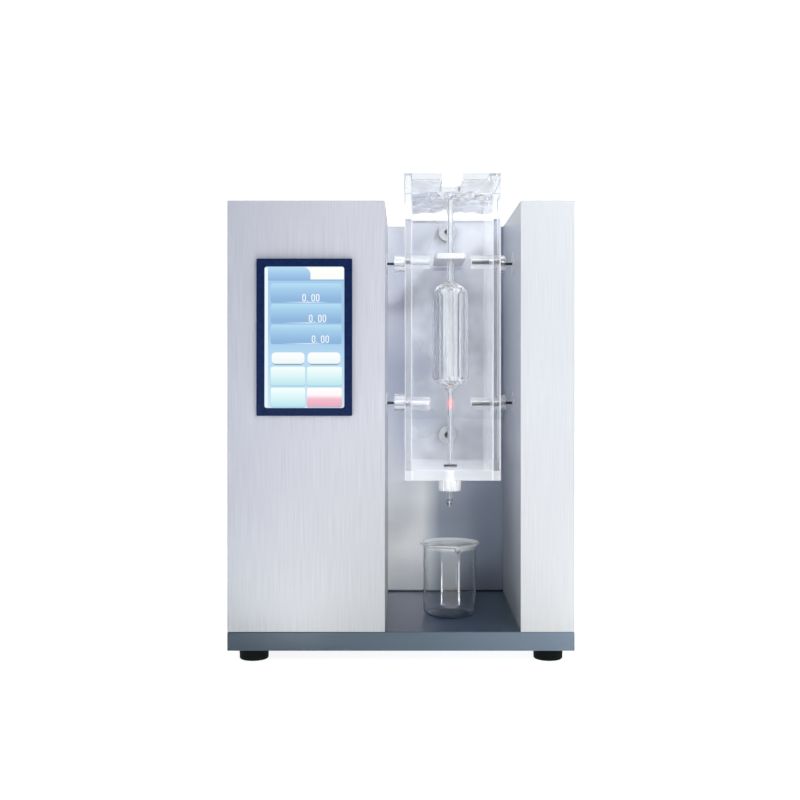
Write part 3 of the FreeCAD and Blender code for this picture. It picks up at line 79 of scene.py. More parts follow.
def finish(name, base, metallic=0.0, roughness=0.5, **sockets):
    """A new material; values that are the same all over go straight on the shader."""
    material = bpy.data.materials.new(name)
    material.use_nodes = True
    shader = shader_of(material)
    shader.inputs["Base Color"].default_value = colour(base)
    shader.inputs["Metallic"].default_value = metallic
    shader.inputs["Roughness"].default_value = roughness
    for label, value in sockets.items():
        shader.inputs[label.replace("_", " ")].default_value = value
    return material, shader


def add(material, kind, settings=None, **links):
    """Add a node; a link is given as input=(node, output) and a value as it is."""
    node = material.node_tree.nodes.new(kind)
    for label, value in (settings or {}).items():
        setattr(node, label, value)
    for label, value in links.items():
        slot = node.inputs[int(label[1:])] if label[1:].isdigit() else node.inputs[label.replace("_", " ")]
        if isinstance(value, tuple) and isinstance(value[0], bpy.types.Node):
            material.node_tree.links.new(value[0].outputs[value[1]], slot)
        else:
            slot.default_value = value
    return node


def join(material, source, target, label):
    node, output = source
    material.node_tree.links.new(node.outputs[output], target.inputs[label])


def arithmetic(material, operation, first, second, third=0.0):
    return add(material, "ShaderNodeMath", {"operation": operation}, _0=first, _1=second, _2=third), 0


def mix(material, share, first, second, blend="MIX"):
    """Two colours, the second over the first in the given share."""
    return add(material, "ShaderNodeMix", {"data_type": "RGBA", "blend_type": blend},
               _0=share, _6=first, _7=second), 2


def stain(material, base, *layers):
    """Colours laid over a base, each darkening what is below it."""
    for layer in layers:
        base = mix(material, 1.0, base, layer, "MULTIPLY")
    return base


def spread(material, source, start, end, low, high, kind="LINEAR"):
    """A value that goes from low to high while the source goes from start to end."""
    return add(material, "ShaderNodeMapRange", {"interpolation_type": kind}, Value=source,
               From_Min=start, From_Max=end, To_Min=low, To_Max=high), "Result"


def axes_of(material, kind="ShaderNodeTexCoord", output="Object"):
    """A place, or another vector of the surface, split into X, Y and Z."""
    where = add(material, kind)
    return add(material, "ShaderNodeSeparateXYZ", None, Vector=(where, output))


def ramp(material, source, stops):
    """A colour ramp between hex colours at given places."""
    node = add(material, "ShaderNodeValToRGB", None, Fac=source)
    scale = node.color_ramp
    while len(scale.elements) < len(stops):
        scale.elements.new(0.5)
    for element, (place, text) in zip(scale.elements, stops):
        element.position = place
        element.color = colour(text)
    return node, "Color"


def place_along(material, axis, start, end):
    """A value that runs from 0 at start to 1 at end, in millimetres along an axis."""
    return spread(material, (axes_of(material), axis), start * MM, end * MM, 0.0, 1.0)


def speckle(material, size_mm, stretch=(1, 1, 1), detail=2.0):
    """Noise whose grains measure size_mm, stretched along the axes."""
    where = add(material, "ShaderNodeTexCoord")
    scaled = add(material, "ShaderNodeMapping", None, Vector=(where, "Object"),
                 Scale=[1 / (size_mm * MM * share) for share in stretch])
    noise = add(material, "ShaderNodeTexNoise", None, Vector=(scaled, "Vector"), Scale=1.0, Detail=detail)
    return noise, "Fac"


def relief(material, shader, height, depth_mm, strength=1.0, edge_mm=0.0):
    """Relief from a height; with an edge, corners catch the light as if rounded by that much."""
    bump = add(material, "ShaderNodeBump", None, Height=height, Distance=depth_mm * MM, Strength=strength)
    if edge_mm:
        turned = add(material, "ShaderNodeBevel", {"samples": 4}, Radius=edge_mm * MM)
        join(material, (turned, "Normal"), bump, "Normal")
    join(material, (bump, "Normal"), shader, "Normal")


# %% [markdown]
# The columns are folded sheet steel with a brushed, pale lacquer. The photo
# shows fine upright streaks and a slow change from cool lavender at the top
# to a greyer, darker foot, which is painted shade. Real brushing marks are about
# 0.1 mm wide. At this size they vanish, so they are drawn 0.9 mm wide and 60 mm long.

# %% Lacquered columns
def lacquer(name, top, foot, streak, across):
    """A lacquer with painted shade: it darkens from top to foot, and across gives more painted shade at places along
    X.
    """
    material, shader = finish(name, top, metallic=0.25, Coat_Weight=0.12, Coat_Roughness=0.25)
    height = place_along(material, "Z", DECK, COLUMN_TOP)
    # Painted shade: the lacquer darkens and greys towards the foot.
    tone = ramp(material, height, [(0.0, foot), (0.55, top), (1.0, top)])
    marks = speckle(material, 0.9, stretch=(1, 1, 66))
    streaks = ramp(material, marks, [(0.3, streak), (0.7, "#ffffff")])
    start, end = across[0][0], across[-1][0]
    width = place_along(material, "X", start, end)
    # Painted shade along X, as across gives it.
    shade = ramp(material, width, [((place - start) / (end - start), text) for place, text in across])
    join(material, stain(material, tone, streaks, shade), shader, "Base Color")
    join(material, spread(material, marks, 0, 1, 0.36, 0.5), shader, "Roughness")
    relief(material, shader, marks, 0.02, 0.25, edge_mm=0.7)
    return material


# Painted shade: the cabinet darker towards its left, the column darker on its inner side that faces the bay.
cabinet_lacquer = lacquer("brushed_lavender_lacquer", "#d4d6e0", "#bdc0c1", "#eeeef2",
                          [(BODY_LEFT, "#eaecf0"), (-120, "#f8f8fa"), (-60, "#ffffff"), (BAY_LEFT, "#ffffff")])
column_lacquer = lacquer("brushed_white_lacquer", "#dbdfe5", "#cbced0", "#f4f4f6",
                         [(BAY_RIGHT - 0.1, "#dcdfe6"), (BAY_RIGHT + 0.2, "#ffffff"), (BODY_RIGHT, "#ffffff")])

# %% [markdown]
# The base is an aluminium casting under a slate-blue enamel. Sprayed enamel
# is satin, with a faint orange peel about 1.5 mm across. The photo shows the
# deck a deeper blue than the casting's front edge.

# %% Slate enamel of the base
slate_enamel, shader = finish("slate_enamel", "#5d6c7a", metallic=0.15, roughness=0.38,
                              Coat_Weight=0.3, Coat_Roughness=0.3)
peel = speckle(slate_enamel, 1.5)
width = place_along(slate_enamel, "X", BODY_LEFT, BODY_RIGHT)
# Painted shade: the front edge darker to the left, lighter to the right.
edge_painted_shade = ramp(slate_enamel, width, [(0.0, "#263a4a"), (0.55, "#4c5d6d"), (1.0, "#6a7b8d")])
deck_tone = ramp(slate_enamel, width, [(0.0, "#243656"), (0.62, "#243656"), (0.8, "#3f505f")])
on_deck = place_along(slate_enamel, "Z", DECK - 0.2, DECK - 0.1)
join(slate_enamel, mix(slate_enamel, on_deck, edge_painted_shade, deck_tone), shader, "Base Color")
relief(slate_enamel, shader, peel, 0.02, 0.2, edge_mm=1.0)

# %% [markdown]
# The bay's rear panel is bare stainless steel with an upright brushed grain.
# Such a sheet is never quite flat, so it shows its surroundings as soft, wide
# bands of light and dark. A long, low swell in the relief gives those bands, and
# the same swell paints them into the colour as painted reflection. The colour
# also holds painted light and shade across the bay and a painted shadow at the deck.

# %% Brushed stainless panel
def brush_steel(material, shader):
    grain = speckle(material, 0.8, stretch=(1, 1, 70))
    swell = speckle(material, 70, stretch=(1, 1, 1.6), detail=1.0)

    # Painted light and shade: light to the left, darker to the right, and darkest to the right
    # below the bath, in the right column's shadow; the bright lower left is a painted reflection of the floor
    across = place_along(material, "X", BAY_LEFT, BAY_RIGHT)
    upper = ramp(material, across, [(0.0, "#eef0f6"), (0.35, "#c9ced9"), (1.0, "#b5bbc8")])
    lower = ramp(material, across, [(0.0, "#fdfdfe"), (0.3, "#f6f8fa"), (0.45, "#a9b1c0"), (1.0, "#a3adbb")])
    # Painted shade that deepens at mid height.
    height = place_along(material, "Z", 225, 480)
    painted_shade_by_height = ramp(material, height, [(0.0, "#f8fafc"), (0.35, "#d6dae3"), (1.0, "#ffffff")])
    above_bath_floor = place_along(material, "Z", 150, 225)
    zone = mix(material, above_bath_floor, lower, stain(material, upper, painted_shade_by_height))

    # Painted shadow where the panel meets the deck
    over_deck = place_along(material, "Z", DECK, DECK + 4)
    painted_contact_shadow = ramp(material, over_deck, [(0.0, "#2c333d"), (0.3, "#4a525e"), (0.7, "#ffffff")])
    # Painted reflection: soft bands of light and dark that follow the swell.
    painted_reflection_bands = ramp(material, swell, [(0.3, "#d8dce4"), (0.7, "#ffffff")])
    join(material, stain(material, zone, painted_contact_shadow, painted_reflection_bands), shader, "Base Color")
    join(material, spread(material, grain, 0, 1, 0.3, 0.44), shader, "Roughness")
    waves = add(material, "ShaderNodeBump", None, Height=swell, Distance=3 * MM, Strength=0.35)
    lines = add(material, "ShaderNodeBump", None, Height=grain, Distance=0.02 * MM, Strength=0.3,
                Normal=(waves, "Normal"))
    join(material, (lines, "Normal"), shader, "Normal")


panel_steel, panel_shader = finish("brushed_stainless", "#c3c8cf", metallic=0.6, Anisotropic=0.5)
brush_steel(panel_steel, panel_shader)

# %% [markdown]
# The small opaque parts have plain moulded, turned or cast surfaces. Each
# gets a fine grain of its own, because even a smooth moulding scatters light
# unevenly. The grain size is the real one where it can still be seen.

# %% Finishes of the small parts
ROUGH_VARIES = 0.08


def grained(name, base, other, grain_mm, depth_mm, metallic=0.0, roughness=0.5, **sockets):
    """An opaque finish whose colour, roughness and relief vary with one grain."""
    material, shader = finish(name, base, metallic, roughness, **sockets)
    grain = speckle(material, grain_mm)
    tone = ramp(material, grain, [(0.3, base), (0.7, other)])
    join(material, tone, shader, "Base Color")
    rough = spread(material, grain, 0, 1, roughness - ROUGH_VARIES, roughness + ROUGH_VARIES)
    join(material, rough, shader, "Roughness")
    relief(material, shader, grain, depth_mm, 0.4)
    return material


foot_rubber = grained("moulded_rubber", "#040b0b", "#0a1414", 0.8, 0.04, roughness=0.8, Specular_IOR_Level=0.15)
seal_rubber = grained("seal_rubber", "#1b1e22", "#2a2d31", 0.6, 0.02, roughness=0.5)
white_ptfe = grained("turned_ptfe", "#dfe2e6", "#eceef1", 2.0, 0.01, roughness=0.38, Subsurface_Weight=0.15,
                     Subsurface_Scale=2 * MM)
bezel_abs = grained("polished_navy_abs", "#061a44", "#0c2350", 3.0, 0.004, roughness=0.22, Specular_IOR_Level=0.25)
black_abs = grained("moulded_black_abs", "#141517", "#1e2022", 0.7, 0.03, roughness=0.55)
sensor_black = grained("black_anodised_tube", "#24262b", "#34363c", 0.8, 0.01, metallic=0.6, roughness=0.35)
zinc_screw = grained("zinc_plated_steel", "#a9adb3", "#c4c8cd", 0.8, 0.01, metallic=1.0, roughness=0.32)
cast_aluminium = grained("bead_blasted_aluminium", "#a7abb0", "#bcc0c5", 0.6, 0.03, metallic=1.0, roughness=0.48)
stainless_tube = grained("turned_stainless", "#b4b8bd", "#cdd1d6", 1.0, 0.01, metallic=1.0, roughness=0.28)
silicone = grained("translucent_silicone", "#cfcabd", "#dedace", 2.0, 0.01, roughness=0.42,
                   Subsurface_Weight=0.3, Subsurface_Scale=3 * MM)
board_green = grained("solder_mask", "#0d4a2a", "#14603a", 1.2, 0.02, roughness=0.35)
fitting_nylon = grained("natural_nylon", "#c9cdd2", "#dfe3e8", 1.5, 0.01, roughness=0.3, Subsurface_Weight=0.2,
                        Subsurface_Scale=2 * MM)

# %% [markdown]
# The emitters are pale moulded rods with a dark plug at their outer end and a
# dark lead that runs on into the cabinet. The tip of the lower one is lit.

# %% Emitters
EMITTER_START, EMITTER_TIP = -20, 34


def emitter_finish(name, glow):
    """Along X: the lead, the rod in the collar, the dark plug, and the rod up to its tip."""
    material, shader = finish(name, "#e3e8f0", roughness=0.3, Emission_Strength=glow)
    along = place_along(material, "X", EMITTER_START, EMITTER_TIP)
    tone = ramp(material, along, [(0.0, "#1a2032"), (0.22, "#1a2032"), (0.24, "#aeb6c6"), (0.42, "#aeb6c6"),
                                  (0.43, "#262c3c"), (0.55, "#262c3c"), (0.57, "#c3c9d8"), (1.0, "#ccd2e0")])
    join(material, tone, shader, "Base Color")
    light = ramp(material, along, [(0.9, "#000000"), (0.94, "#ff5a60")])
    join(material, light, shader, "Emission Color")
    return material


emitter_dark = emitter_finish("emitter_rod", 0.0)
emitter_lit = emitter_finish("emitter_rod_lit", 0.9)

# %% [markdown]
# Clear things need their refraction to be right, because the photo shows the
# bulb with the dark double edge that only an air-filled glass under water
# has; the bore's finish also paints that dark edge in, as painted shade. Light bends
# by the ratio of the two media at each surface: glass in air is 1.47, but glass in
# water only 1.47 / 1.33. So each clear solid wears two finishes, one where it meets air and one where it meets water.

# %% Clear materials
WATER, GLASS, ACRYLIC = 1.333, 1.474, 1.491
WATER_LEVEL = 500
bath_left, bath_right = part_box("tank_left")[0][0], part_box("tank_right")[1][0]
bath_low = Vector((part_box("tank_left")[1][0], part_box("tank_front")[1][1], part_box("tank_floor")[1][2]))
bath_high = Vector((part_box("tank_right")[0][0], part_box("tank_back")[0][1], WATER_LEVEL * MM))
pipette_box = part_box("pipette")
glass_x = (pipette_box[0][0] + pipette_box[1][0]) / 2
glass_y = (pipette_box[0][1] + pipette_box[1][1]) / 2
lower_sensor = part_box("emitter_lower")
beam_spot = (glass_x, glass_y, (lower_sensor[0][2] + lower_sensor[1][2]) / 2)
BEAM_CORE, BEAM_REACH = 1, 11


def clear(name, tint, ior, draw_mm=0.0, glint="#ffffff", beam=0.0):
    """A clear finish; draw lines run up the glass, and where the lower sensor's beam strikes it a red glow is painted
    on.
    """
    material, shader = finish(name, tint, roughness=0.0, Transmission_Weight=1.0, IOR=ior,
                              Specular_Tint=colour(glint))
    if draw_mm:
        flow = speckle(material, 5, stretch=(1, 1, 30), detail=0.0)
        relief(material, shader, flow, draw_mm, 0.5)
    if beam:
        # Painted light: a red glow on the glass round the lower sensor's beam.
        where = add(material, "ShaderNodeNewGeometry")
        away = add(material, "ShaderNodeVectorMath", {"operation": "DISTANCE"}, _0=(where, "Position"), _1=beam_spot)
        painted_beam_glow = spread(material, (away, "Value"), BEAM_CORE * MM, BEAM_REACH * MM, beam, 0.0, "SMOOTHSTEP")
        shader.inputs["Emission Color"].default_value = colour("#ff3b45")
        join(material, painted_beam_glow, shader, "Emission Strength")
    return material


def bore_glass():
    """Glass against the air within, with a painted dark band where it turns from the view and painted white highlight
    streaks in the middle.
    """
    material = clear("borosilicate_bore", "#fdffff", GLASS, 0.003, "#aab0b8", 0.12)
    facing = axes_of(material, "ShaderNodeNewGeometry", "Normal")
    turn = arithmetic(material, "ABSOLUTE", (facing, "X"), 0.0)
    # Painted shade: a dark band where the bore turns from the view.
    painted_dark_band = ramp(material, turn, [(0.7, "#fdffff"), (0.77, "#3f4857"), (0.85, "#3f4857"), (0.91, "#fdffff")])
    join(material, painted_dark_band, shader_of(material), "Base Color")
    # Painted highlight: white streaks in the middle, where the glass is made less clear.
    white = spread(material, speckle(material, 2.4, stretch=(1, 1, 80)), 0.42, 0.6, 0.05, 0.45)
    middle_part = spread(material, turn, 0.45, 0.7, 1.0, 0.0)
    streak = arithmetic(material, "MULTIPLY", white, middle_part)
    join(material, arithmetic(material, "SUBTRACT", 1.0, streak), shader_of(material), "Transmission Weight")
    return material


acrylic_dry = clear("cast_acrylic_in_air", "#fdfeff", ACRYLIC)
acrylic_wet = clear("cast_acrylic_in_water", "#ffffff", ACRYLIC / WATER)


def sleeve_acrylic(name, ior, lowest):
    """Turned acrylic, less clear on its upper half, as a painted highlight of the light from above."""
    material = clear(name, "#fdfeff", ior)
    facing = axes_of(material, "ShaderNodeNewGeometry", "Normal")
    # Painted highlight: upward faces are less clear, so they show whiter.
    clear_share = spread(material, (facing, "Z"), -0.1, 0.35, 0.97, lowest)
    join(material, clear_share, shader_of(material), "Transmission Weight")
    return material


sleeve_dry = sleeve_acrylic("turned_acrylic_in_air", ACRYLIC, 0.8)
sleeve_wet = sleeve_acrylic("turned_acrylic_in_water", ACRYLIC / WATER, 0.55)
glass_dry = clear("borosilicate_in_air", "#fdffff", GLASS)
glass_bore = bore_glass()
glass_wet = clear("borosilicate_in_water", "#ffffff", GLASS / WATER, 0.005, beam=0.22)
water_top = clear("water_surface", "#fcfeff", WATER)
unseen, _ = finish("joint_without_a_surface", "#ffffff", roughness=0.0, Alpha=0.0)

# %% [markdown]
# The bath's plates are glued with a clear cement, so the joints between them
# bend no light, but the cement leaves a faint white haze. A broad plate meets
# the water in its middle and a neighbour along its rim, all on one face. Its
# finish therefore asks where it is, wet, dry or on a joint. The rear plate
# stands flat against the steel panel. Two surfaces in one place can't both be
# drawn, so neither is, and the view goes on to the sheet's other face, 2 mm on.

# %% Acrylic of the bath's plates
panel_low, panel_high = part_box("back_panel")
lid_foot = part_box("tank_lid")[0][2]
# A faint haze of the cement on the joints, and painted highlights at the side walls' rims and round the floor
JOINT_HAZE, EDGE_HIGHLIGHT, FLOOR_EDGE_HIGHLIGHT = 0.1, 0.65, 0.45
RIM_REACH = 0.8
# Painted light in the bath: whitish mist with a faint glow
FLOOR_PAINTED_LIGHT, PAINTED_LIGHT_GLOW = 0.45, 0.35
FOLD = 2.05


def bath_acrylic():
    material, shader = finish("glued_bath_acrylic", "#fdfeff", roughness=0.0, Emission_Color=colour("#eef1fa"))
    split = axes_of(material)

    def value(operation, first, second, third=0.0):
        return arithmetic(material, operation, first, second, third)

    def at(axis, place, reach=NEAR):
        return value("COMPARE", (split, axis), place, reach)

    def without(share):
        return value("SUBTRACT", 1.0, share)

    # Where a plate touches another one, and not the water
    inside = value("GREATER_THAN", (split, "Z"), bath_low.z - NEAR)
    on_plane = at("Z", lid_foot)
    for axis, low, high in (("X", bath_low.x, bath_high.x), ("Y", bath_low.y, bath_high.y)):
        inside = value("MULTIPLY", inside, value("GREATER_THAN", (split, axis), low - NEAR))
        inside = value("MULTIPLY", inside, value("LESS_THAN", (split, axis), high + NEAR))
        for place in (low, high):
            on_plane = value("MAXIMUM", on_plane, at(axis, place))
    glued = value("MULTIPLY", on_plane, without(inside))
    on_panel = value("MULTIPLY", at("Y", panel_low[1]), value("LESS_THAN", (split, "Z"), panel_high[2]))

    # A faint haze of the cement on the joints, with painted highlights along the side walls' rims and round the floor
    haze_and_highlight = value("MULTIPLY", value("LESS_THAN", (split, "Z"), bath_low.z), FLOOR_EDGE_HIGHLIGHT - JOINT_HAZE)
    rim_highlights = at("X", bath_left, RIM_REACH * MM)
    for rim in (bath_low.x, bath_high.x, bath_right):
        rim_highlights = value("MAXIMUM", rim_highlights, at("X", rim, RIM_REACH * MM))
    haze_and_highlight = value("MAXIMUM", haze_and_highlight, value("MULTIPLY", rim_highlights, EDGE_HIGHLIGHT - JOINT_HAZE))
    haze_and_highlight = value("ADD", haze_and_highlight, JOINT_HAZE)
    alpha = without(value("MULTIPLY", glued, without(haze_and_highlight)))
    alpha = value("MULTIPLY", alpha, without(on_panel))
    wet = value("MULTIPLY", inside, value("LESS_THAN", (split, "Z"), bath_high.z))
    ior = value("MULTIPLY_ADD", wet, ACRYLIC / WATER - ACRYLIC, ACRYLIC)

    # Painted light on the wet faces of the right plate, the rear plate and the floor:
    # a whitish mist with a faint glow for light scattered in the bath, more of it towards the right, in the column's
    # shadow
    streaks = spread(material, speckle(material, 2.2, stretch=(1, 1, 70)), 0.42, 0.62, 0.12, 0.75)
    painted_light_film = spread(material, speckle(material, 45), 0.35, 0.65, 0.1, 0.32)
    rightward_painted_light = place_along(material, "X", bath_low.x / MM, bath_high.x / MM)
    painted_light_film = value("MULTIPLY_ADD", rightward_painted_light, 0.22, painted_light_film)
    on_right = value("MULTIPLY", at("X", bath_high.x), streaks)
    on_rear = value("MULTIPLY", at("Y", bath_high.y), painted_light_film)
    on_floor = value("MULTIPLY", at("Z", bath_low.z), FLOOR_PAINTED_LIGHT)
    painted_light_mist = value("MULTIPLY", wet, value("MAXIMUM", value("MAXIMUM", on_right, on_rear), on_floor))
    clear_share = value("MULTIPLY", without(glued), without(painted_light_mist))

    # The lid is a shade greyer than the walls, and so is the cement above the water
    height = place_along(material, "Z", 480, lid_foot / MM + 0.1)
    body = ramp(material, height, [(0.0, "#fdfeff"), (0.99, "#fdfeff"), (1.0, "#e4e9ee")])
    cement = ramp(material, height, [(0.0, "#f4f6fa"), (0.25, "#f4f6fa"), (0.4, "#d6dde5"), (1.0, "#d6dde5")])
    join(material, mix(material, glued, body, cement), shader, "Base Color")
    join(material, alpha, shader, "Alpha")
    join(material, ior, shader, "IOR")
    join(material, value("MULTIPLY", painted_light_mist, PAINTED_LIGHT_GLOW), shader, "Emission Strength")
    join(material, clear_share, shader, "Transmission Weight")
    return material


def contact_window(material, shader):
    """Leave out the panel's front face where the bath stands against it, but not at its top fold."""
    split = axes_of(material)
    low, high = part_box("tank_back")
    window = arithmetic(material, "COMPARE", (split, "Y"), panel_low[1], NEAR)
    for axis, start, end in (("X", low[0], high[0]), ("Z", low[2], panel_high[2] - FOLD * MM)):
        for operation, limit in (("GREATER_THAN", start), ("LESS_THAN", end)):
            within = arithmetic(material, operation, (split, axis), limit)
            window = arithmetic(material, "MULTIPLY", window, within)
    join(material, arithmetic(material, "SUBTRACT", 1.0, window), shader, "Alpha")


plate_acrylic = bath_acrylic()
contact_window(panel_steel, panel_shader)

# %% [markdown]
# One helper dresses solids by name. The opaque ones come first.

# %% Dress the opaque solids
def dress(names, *materials):
    for name in names:
        slots = nodes[name].data.materials
        slots.clear()
        for material in materials:
            slots.append(material)


dress(["left_cabinet_shell"], cabinet_lacquer)
dress(["right_column_shell"], column_lacquer)
dress(["base_tray", "base_cover"], slate_enamel)
dress(["back_panel", "rear_cover"], panel_steel)
dress([name for name in nodes if name.startswith("foot_") and name != "foot_screws"], foot_rubber)
dress(["foot_screws", "cover_screws", "fan_guard"], zinc_screw)
dress(["display_bezel"], bezel_abs)
dress(["gland_bush", "gland_nut", "pipette_holder"], white_ptfe)
dress(["gland_seal", "port_seals"], seal_rubber)
dress(["receiver_upper", "receiver_lower"], sensor_black)
dress(["emitter_upper"], emitter_dark)
dress(["emitter_lower"], emitter_lit)
dress(["outlet_port", "inlet_port", "port_nuts", "wall_grommets"], fitting_nylon)
dress(["display_housing", "fan_frame", "fan_rotor", "power_inlet", "switch_housing", "switch_rocker",
       "pump_body", "pump_cover", "pump_impeller"], black_abs)
dress(["pump_motor", "power_supply", "display_clamps"], cast_aluminium)
dress(["heater_vessel", "temperature_probe"], stainless_tube)
dress(["hose_supply", "hose_return", "hose_link"], silicone)
dress(["control_board"], board_green)

# %% [markdown]
# The faces of a clear solid are sorted into those that meet the water and those
# that meet the air. Where two solids share a face, one of them hides its own.
# Clear solids don't throw the hard black shadow that a renderer gives them when
# it can't follow bent light, so their shadows are turned off.

# %% Wet, dry and hidden faces
SLEEVE_RADIUS = 7.5
BORE_SLOT = 2


def under_water(point):
    return all(low < value < high for low, value, high in zip(bath_low, point, bath_high))


def sort_faces(name, dry, wet, bore_axis=None, bore=None):
    """Give faces that look into the water the wet finish, a bore its own, and all others the dry one."""
    dress([name], dry, wet, bore or dry)
    for face in nodes[name].data.polygons:
        if bore_axis and face.normal.dot(Vector(bore_axis(face.center)) - face.center) > 0:
            face.material_index = BORE_SLOT
        else:
            face.material_index = int(under_water(face.center + face.normal * 0.5 * MM))
    nodes[name].visible_shadow = False


def hide_faces(name, chosen):
    """Give the faces that a test picks the finish without a surface."""
    mesh = nodes[name].data
    mesh.materials.append(unseen)
    for face in mesh.polygons:
        if chosen(face):
            face.material_index = len(mesh.materials) - 1


def in_wall(face):
    """Faces that run through the thickness of a side wall, round a sleeve."""
    left = bath_left < face.center.x < bath_low.x
    right = bath_high.x < face.center.x < bath_right
    return (left or right) and abs(face.normal.x) < 0.5 and abs(face.center.y - glass_y) < (SLEEVE_RADIUS + 1.5) * MM


def round_sleeve(face, middle):
    """Those of them that are the sleeve's own outside, about an axis at the height of middle."""
    away = math.hypot(face.center.y - glass_y, face.center.z - middle)
    return in_wall(face) and abs(away - SLEEVE_RADIUS * MM) < 1 * MM


for name in ("tank_front", "tank_back", "tank_left", "tank_right", "tank_floor", "tank_lid"):
    dress([name], plate_acrylic)
    nodes[name].visible_shadow = False
for name in ("tank_left", "tank_right"):
    hide_faces(name, in_wall)
sort_faces("holder_ledge", acrylic_dry, acrylic_wet)
sort_faces("sleeve_collars", sleeve_dry, sleeve_wet)
ledge_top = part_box("holder_ledge")[1][2]
hide_faces("holder_ledge", lambda face: face.center.z > ledge_top - NEAR or face.center.y > bath_high.y - NEAR)
for name in [name for name in nodes if name.startswith("sleeve_") and name != "sleeve_collars"]:
    low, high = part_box(name)
    axis_y, axis_z = (low[1] + high[1]) / 2, (low[2] + high[2]) / 2
    sort_faces(name, sleeve_dry, sleeve_wet, lambda point, y=axis_y, z=axis_z: (point.x, y, z))
    hide_faces(name, lambda face, middle=axis_z: round_sleeve(face, middle))
sort_faces("pipette", glass_dry, glass_wet, lambda point: (glass_x, glass_y, point.z), glass_bore)
beaker_glass = clear("beaker_glass", "#fdffff", GLASS, 0.01)
beaker_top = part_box("beaker")[1][2] / MM
# Painted highlight: the glass is less clear near the rim, so the rim shows whiter.
near_rim = place_along(beaker_glass, "Z", beaker_top - 10, beaker_top)
rim_painted_highlight = ramp(beaker_glass, near_rim, [(0.2, "#ffffff"), (0.75, "#d8d8d8"), (1.0, "#cccccc")])
join(beaker_glass, rim_painted_highlight, shader_of(beaker_glass), "Transmission Weight")
sort_faces("beaker", beaker_glass, glass_wet)

# %% [markdown]
# The bath is filled to a little under its rim. A closed body of water with a
# wavy top stands between the walls. Its sides lie against the acrylic and
# show nothing of their own, since the walls already bend the light there.

# %% Water
scene = bpy.context.scene


def placed(name, data):
    """A new object in the scene."""
    thing = bpy.data.objects.new(name, data)
    scene.collection.objects.link(thing)
    return thing


def as_mesh(name, build):
    mesh = bpy.data.meshes.new(name)
    build.to_mesh(mesh)
    build.free()
    return mesh


def surface(mesh, materials, smooth):
    for material in materials:
        mesh.materials.append(material)
    for face in mesh.polygons:
        face.use_smooth = smooth


def piece(name, mesh, materials, body="root", smooth=True):
    """A new object of the part, with its finishes, that rides on a body."""
    thing = placed(name, mesh)
    surface(mesh, materials, smooth)
    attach(thing, body)
    return thing


def wave(across, deep):
    """Height of the water's surface over its mean level, in metres."""
    height = 1.5 * math.sin(across / (15 * MM) + 1.3 * math.sin(deep / (17 * MM)) - 0.9)
    height += 1.0 * math.sin(deep / (7 * MM) + 1.6 * math.sin(across / (11 * MM)))
    height += 0.5 * math.sin(across / (4.1 * MM) + deep / (5.3 * MM))
    height += 0.35 * math.sin(across / (3.3 * MM) - deep / (4.7 * MM) + 1.7)
    ring = math.hypot(across - glass_x, deep - glass_y)
    height += 2.2 * math.exp(-(ring / (9 * MM)) ** 2)
    return height * MM


def water_body():
    """A grid for the surface, with walls down from its rim and a flat underside."""
    cells_x, cells_y = 60, 130
    low = bath_low + Vector((NEAR, NEAR, NEAR))
    high = bath_high - Vector((NEAR, NEAR, 0))
    build = bmesh.new()
    rows = []
    for step_y in range(cells_y + 1):
        row = []
        for step_x in range(cells_x + 1):
            across = low.x + (high.x - low.x) * step_x / cells_x
            deep = low.y + (high.y - low.y) * step_y / cells_y
            row.append(build.verts.new((across, deep, high.z + wave(across, deep))))
        rows.append(row)
    for step_y in range(cells_y):
        for step_x in range(cells_x):
            build.faces.new((rows[step_y][step_x], rows[step_y][step_x + 1],
                             rows[step_y + 1][step_x + 1], rows[step_y + 1][step_x]))
    rim = [rows[0][step] for step in range(cells_x + 1)]
    rim += [rows[step][cells_x] for step in range(1, cells_y + 1)]
    rim += [rows[cells_y][step] for step in range(cells_x - 1, -1, -1)]
    rim += [rows[step][0] for step in range(cells_y - 1, 0, -1)]
    foot = [build.verts.new((corner.co.x, corner.co.y, low.z)) for corner in rim]
    count = len(rim)
    for step in range(count):
        following = (step + 1) % count
        side = build.faces.new((rim[following], rim[step], foot[step], foot[following]))
        side.material_index = 1
    underside = build.faces.new(list(reversed(foot)))
    underside.material_index = 1
    return as_mesh("bath_water", build)


water = piece("bath_water", water_body(), [water_top, unseen])
water.visible_shadow = False

# %% [markdown]
# A drop hangs from the capillary's tip and wets its taper. It is turned from
# a half outline, a hair away from the glass, and rides with the glass.

# %% Drop at the tip
def turned_mesh(name, outline, foot, turns=40):
    """A closed mesh turned about the glass axis from points of radius and height over a foot."""
    build = bmesh.new()
    rings = []
    for radius, painted_shade_by_height in outline:
        height = foot + painted_shade_by_height * MM
        if radius:
            angles = [2 * math.pi * step / turns for step in range(turns)]
            spots = [(glass_x + radius * MM * math.cos(angle), glass_y + radius * MM * math.sin(angle), height)
                     for angle in angles]
            rings.append([build.verts.new(spot) for spot in spots])
        else:
            rings.append([build.verts.new((glass_x, glass_y, height))] * turns)
    for first, second in zip(rings, rings[1:] + rings[:1]):
        for step in range(turns):
            after = (step + 1) % turns
            corners = list(dict.fromkeys((first[step], first[after], second[after], second[step])))
            if len(corners) > 2:
                build.faces.new(corners)
    bmesh.ops.recalc_face_normals(build, faces=build.faces)
    return as_mesh(name, build)


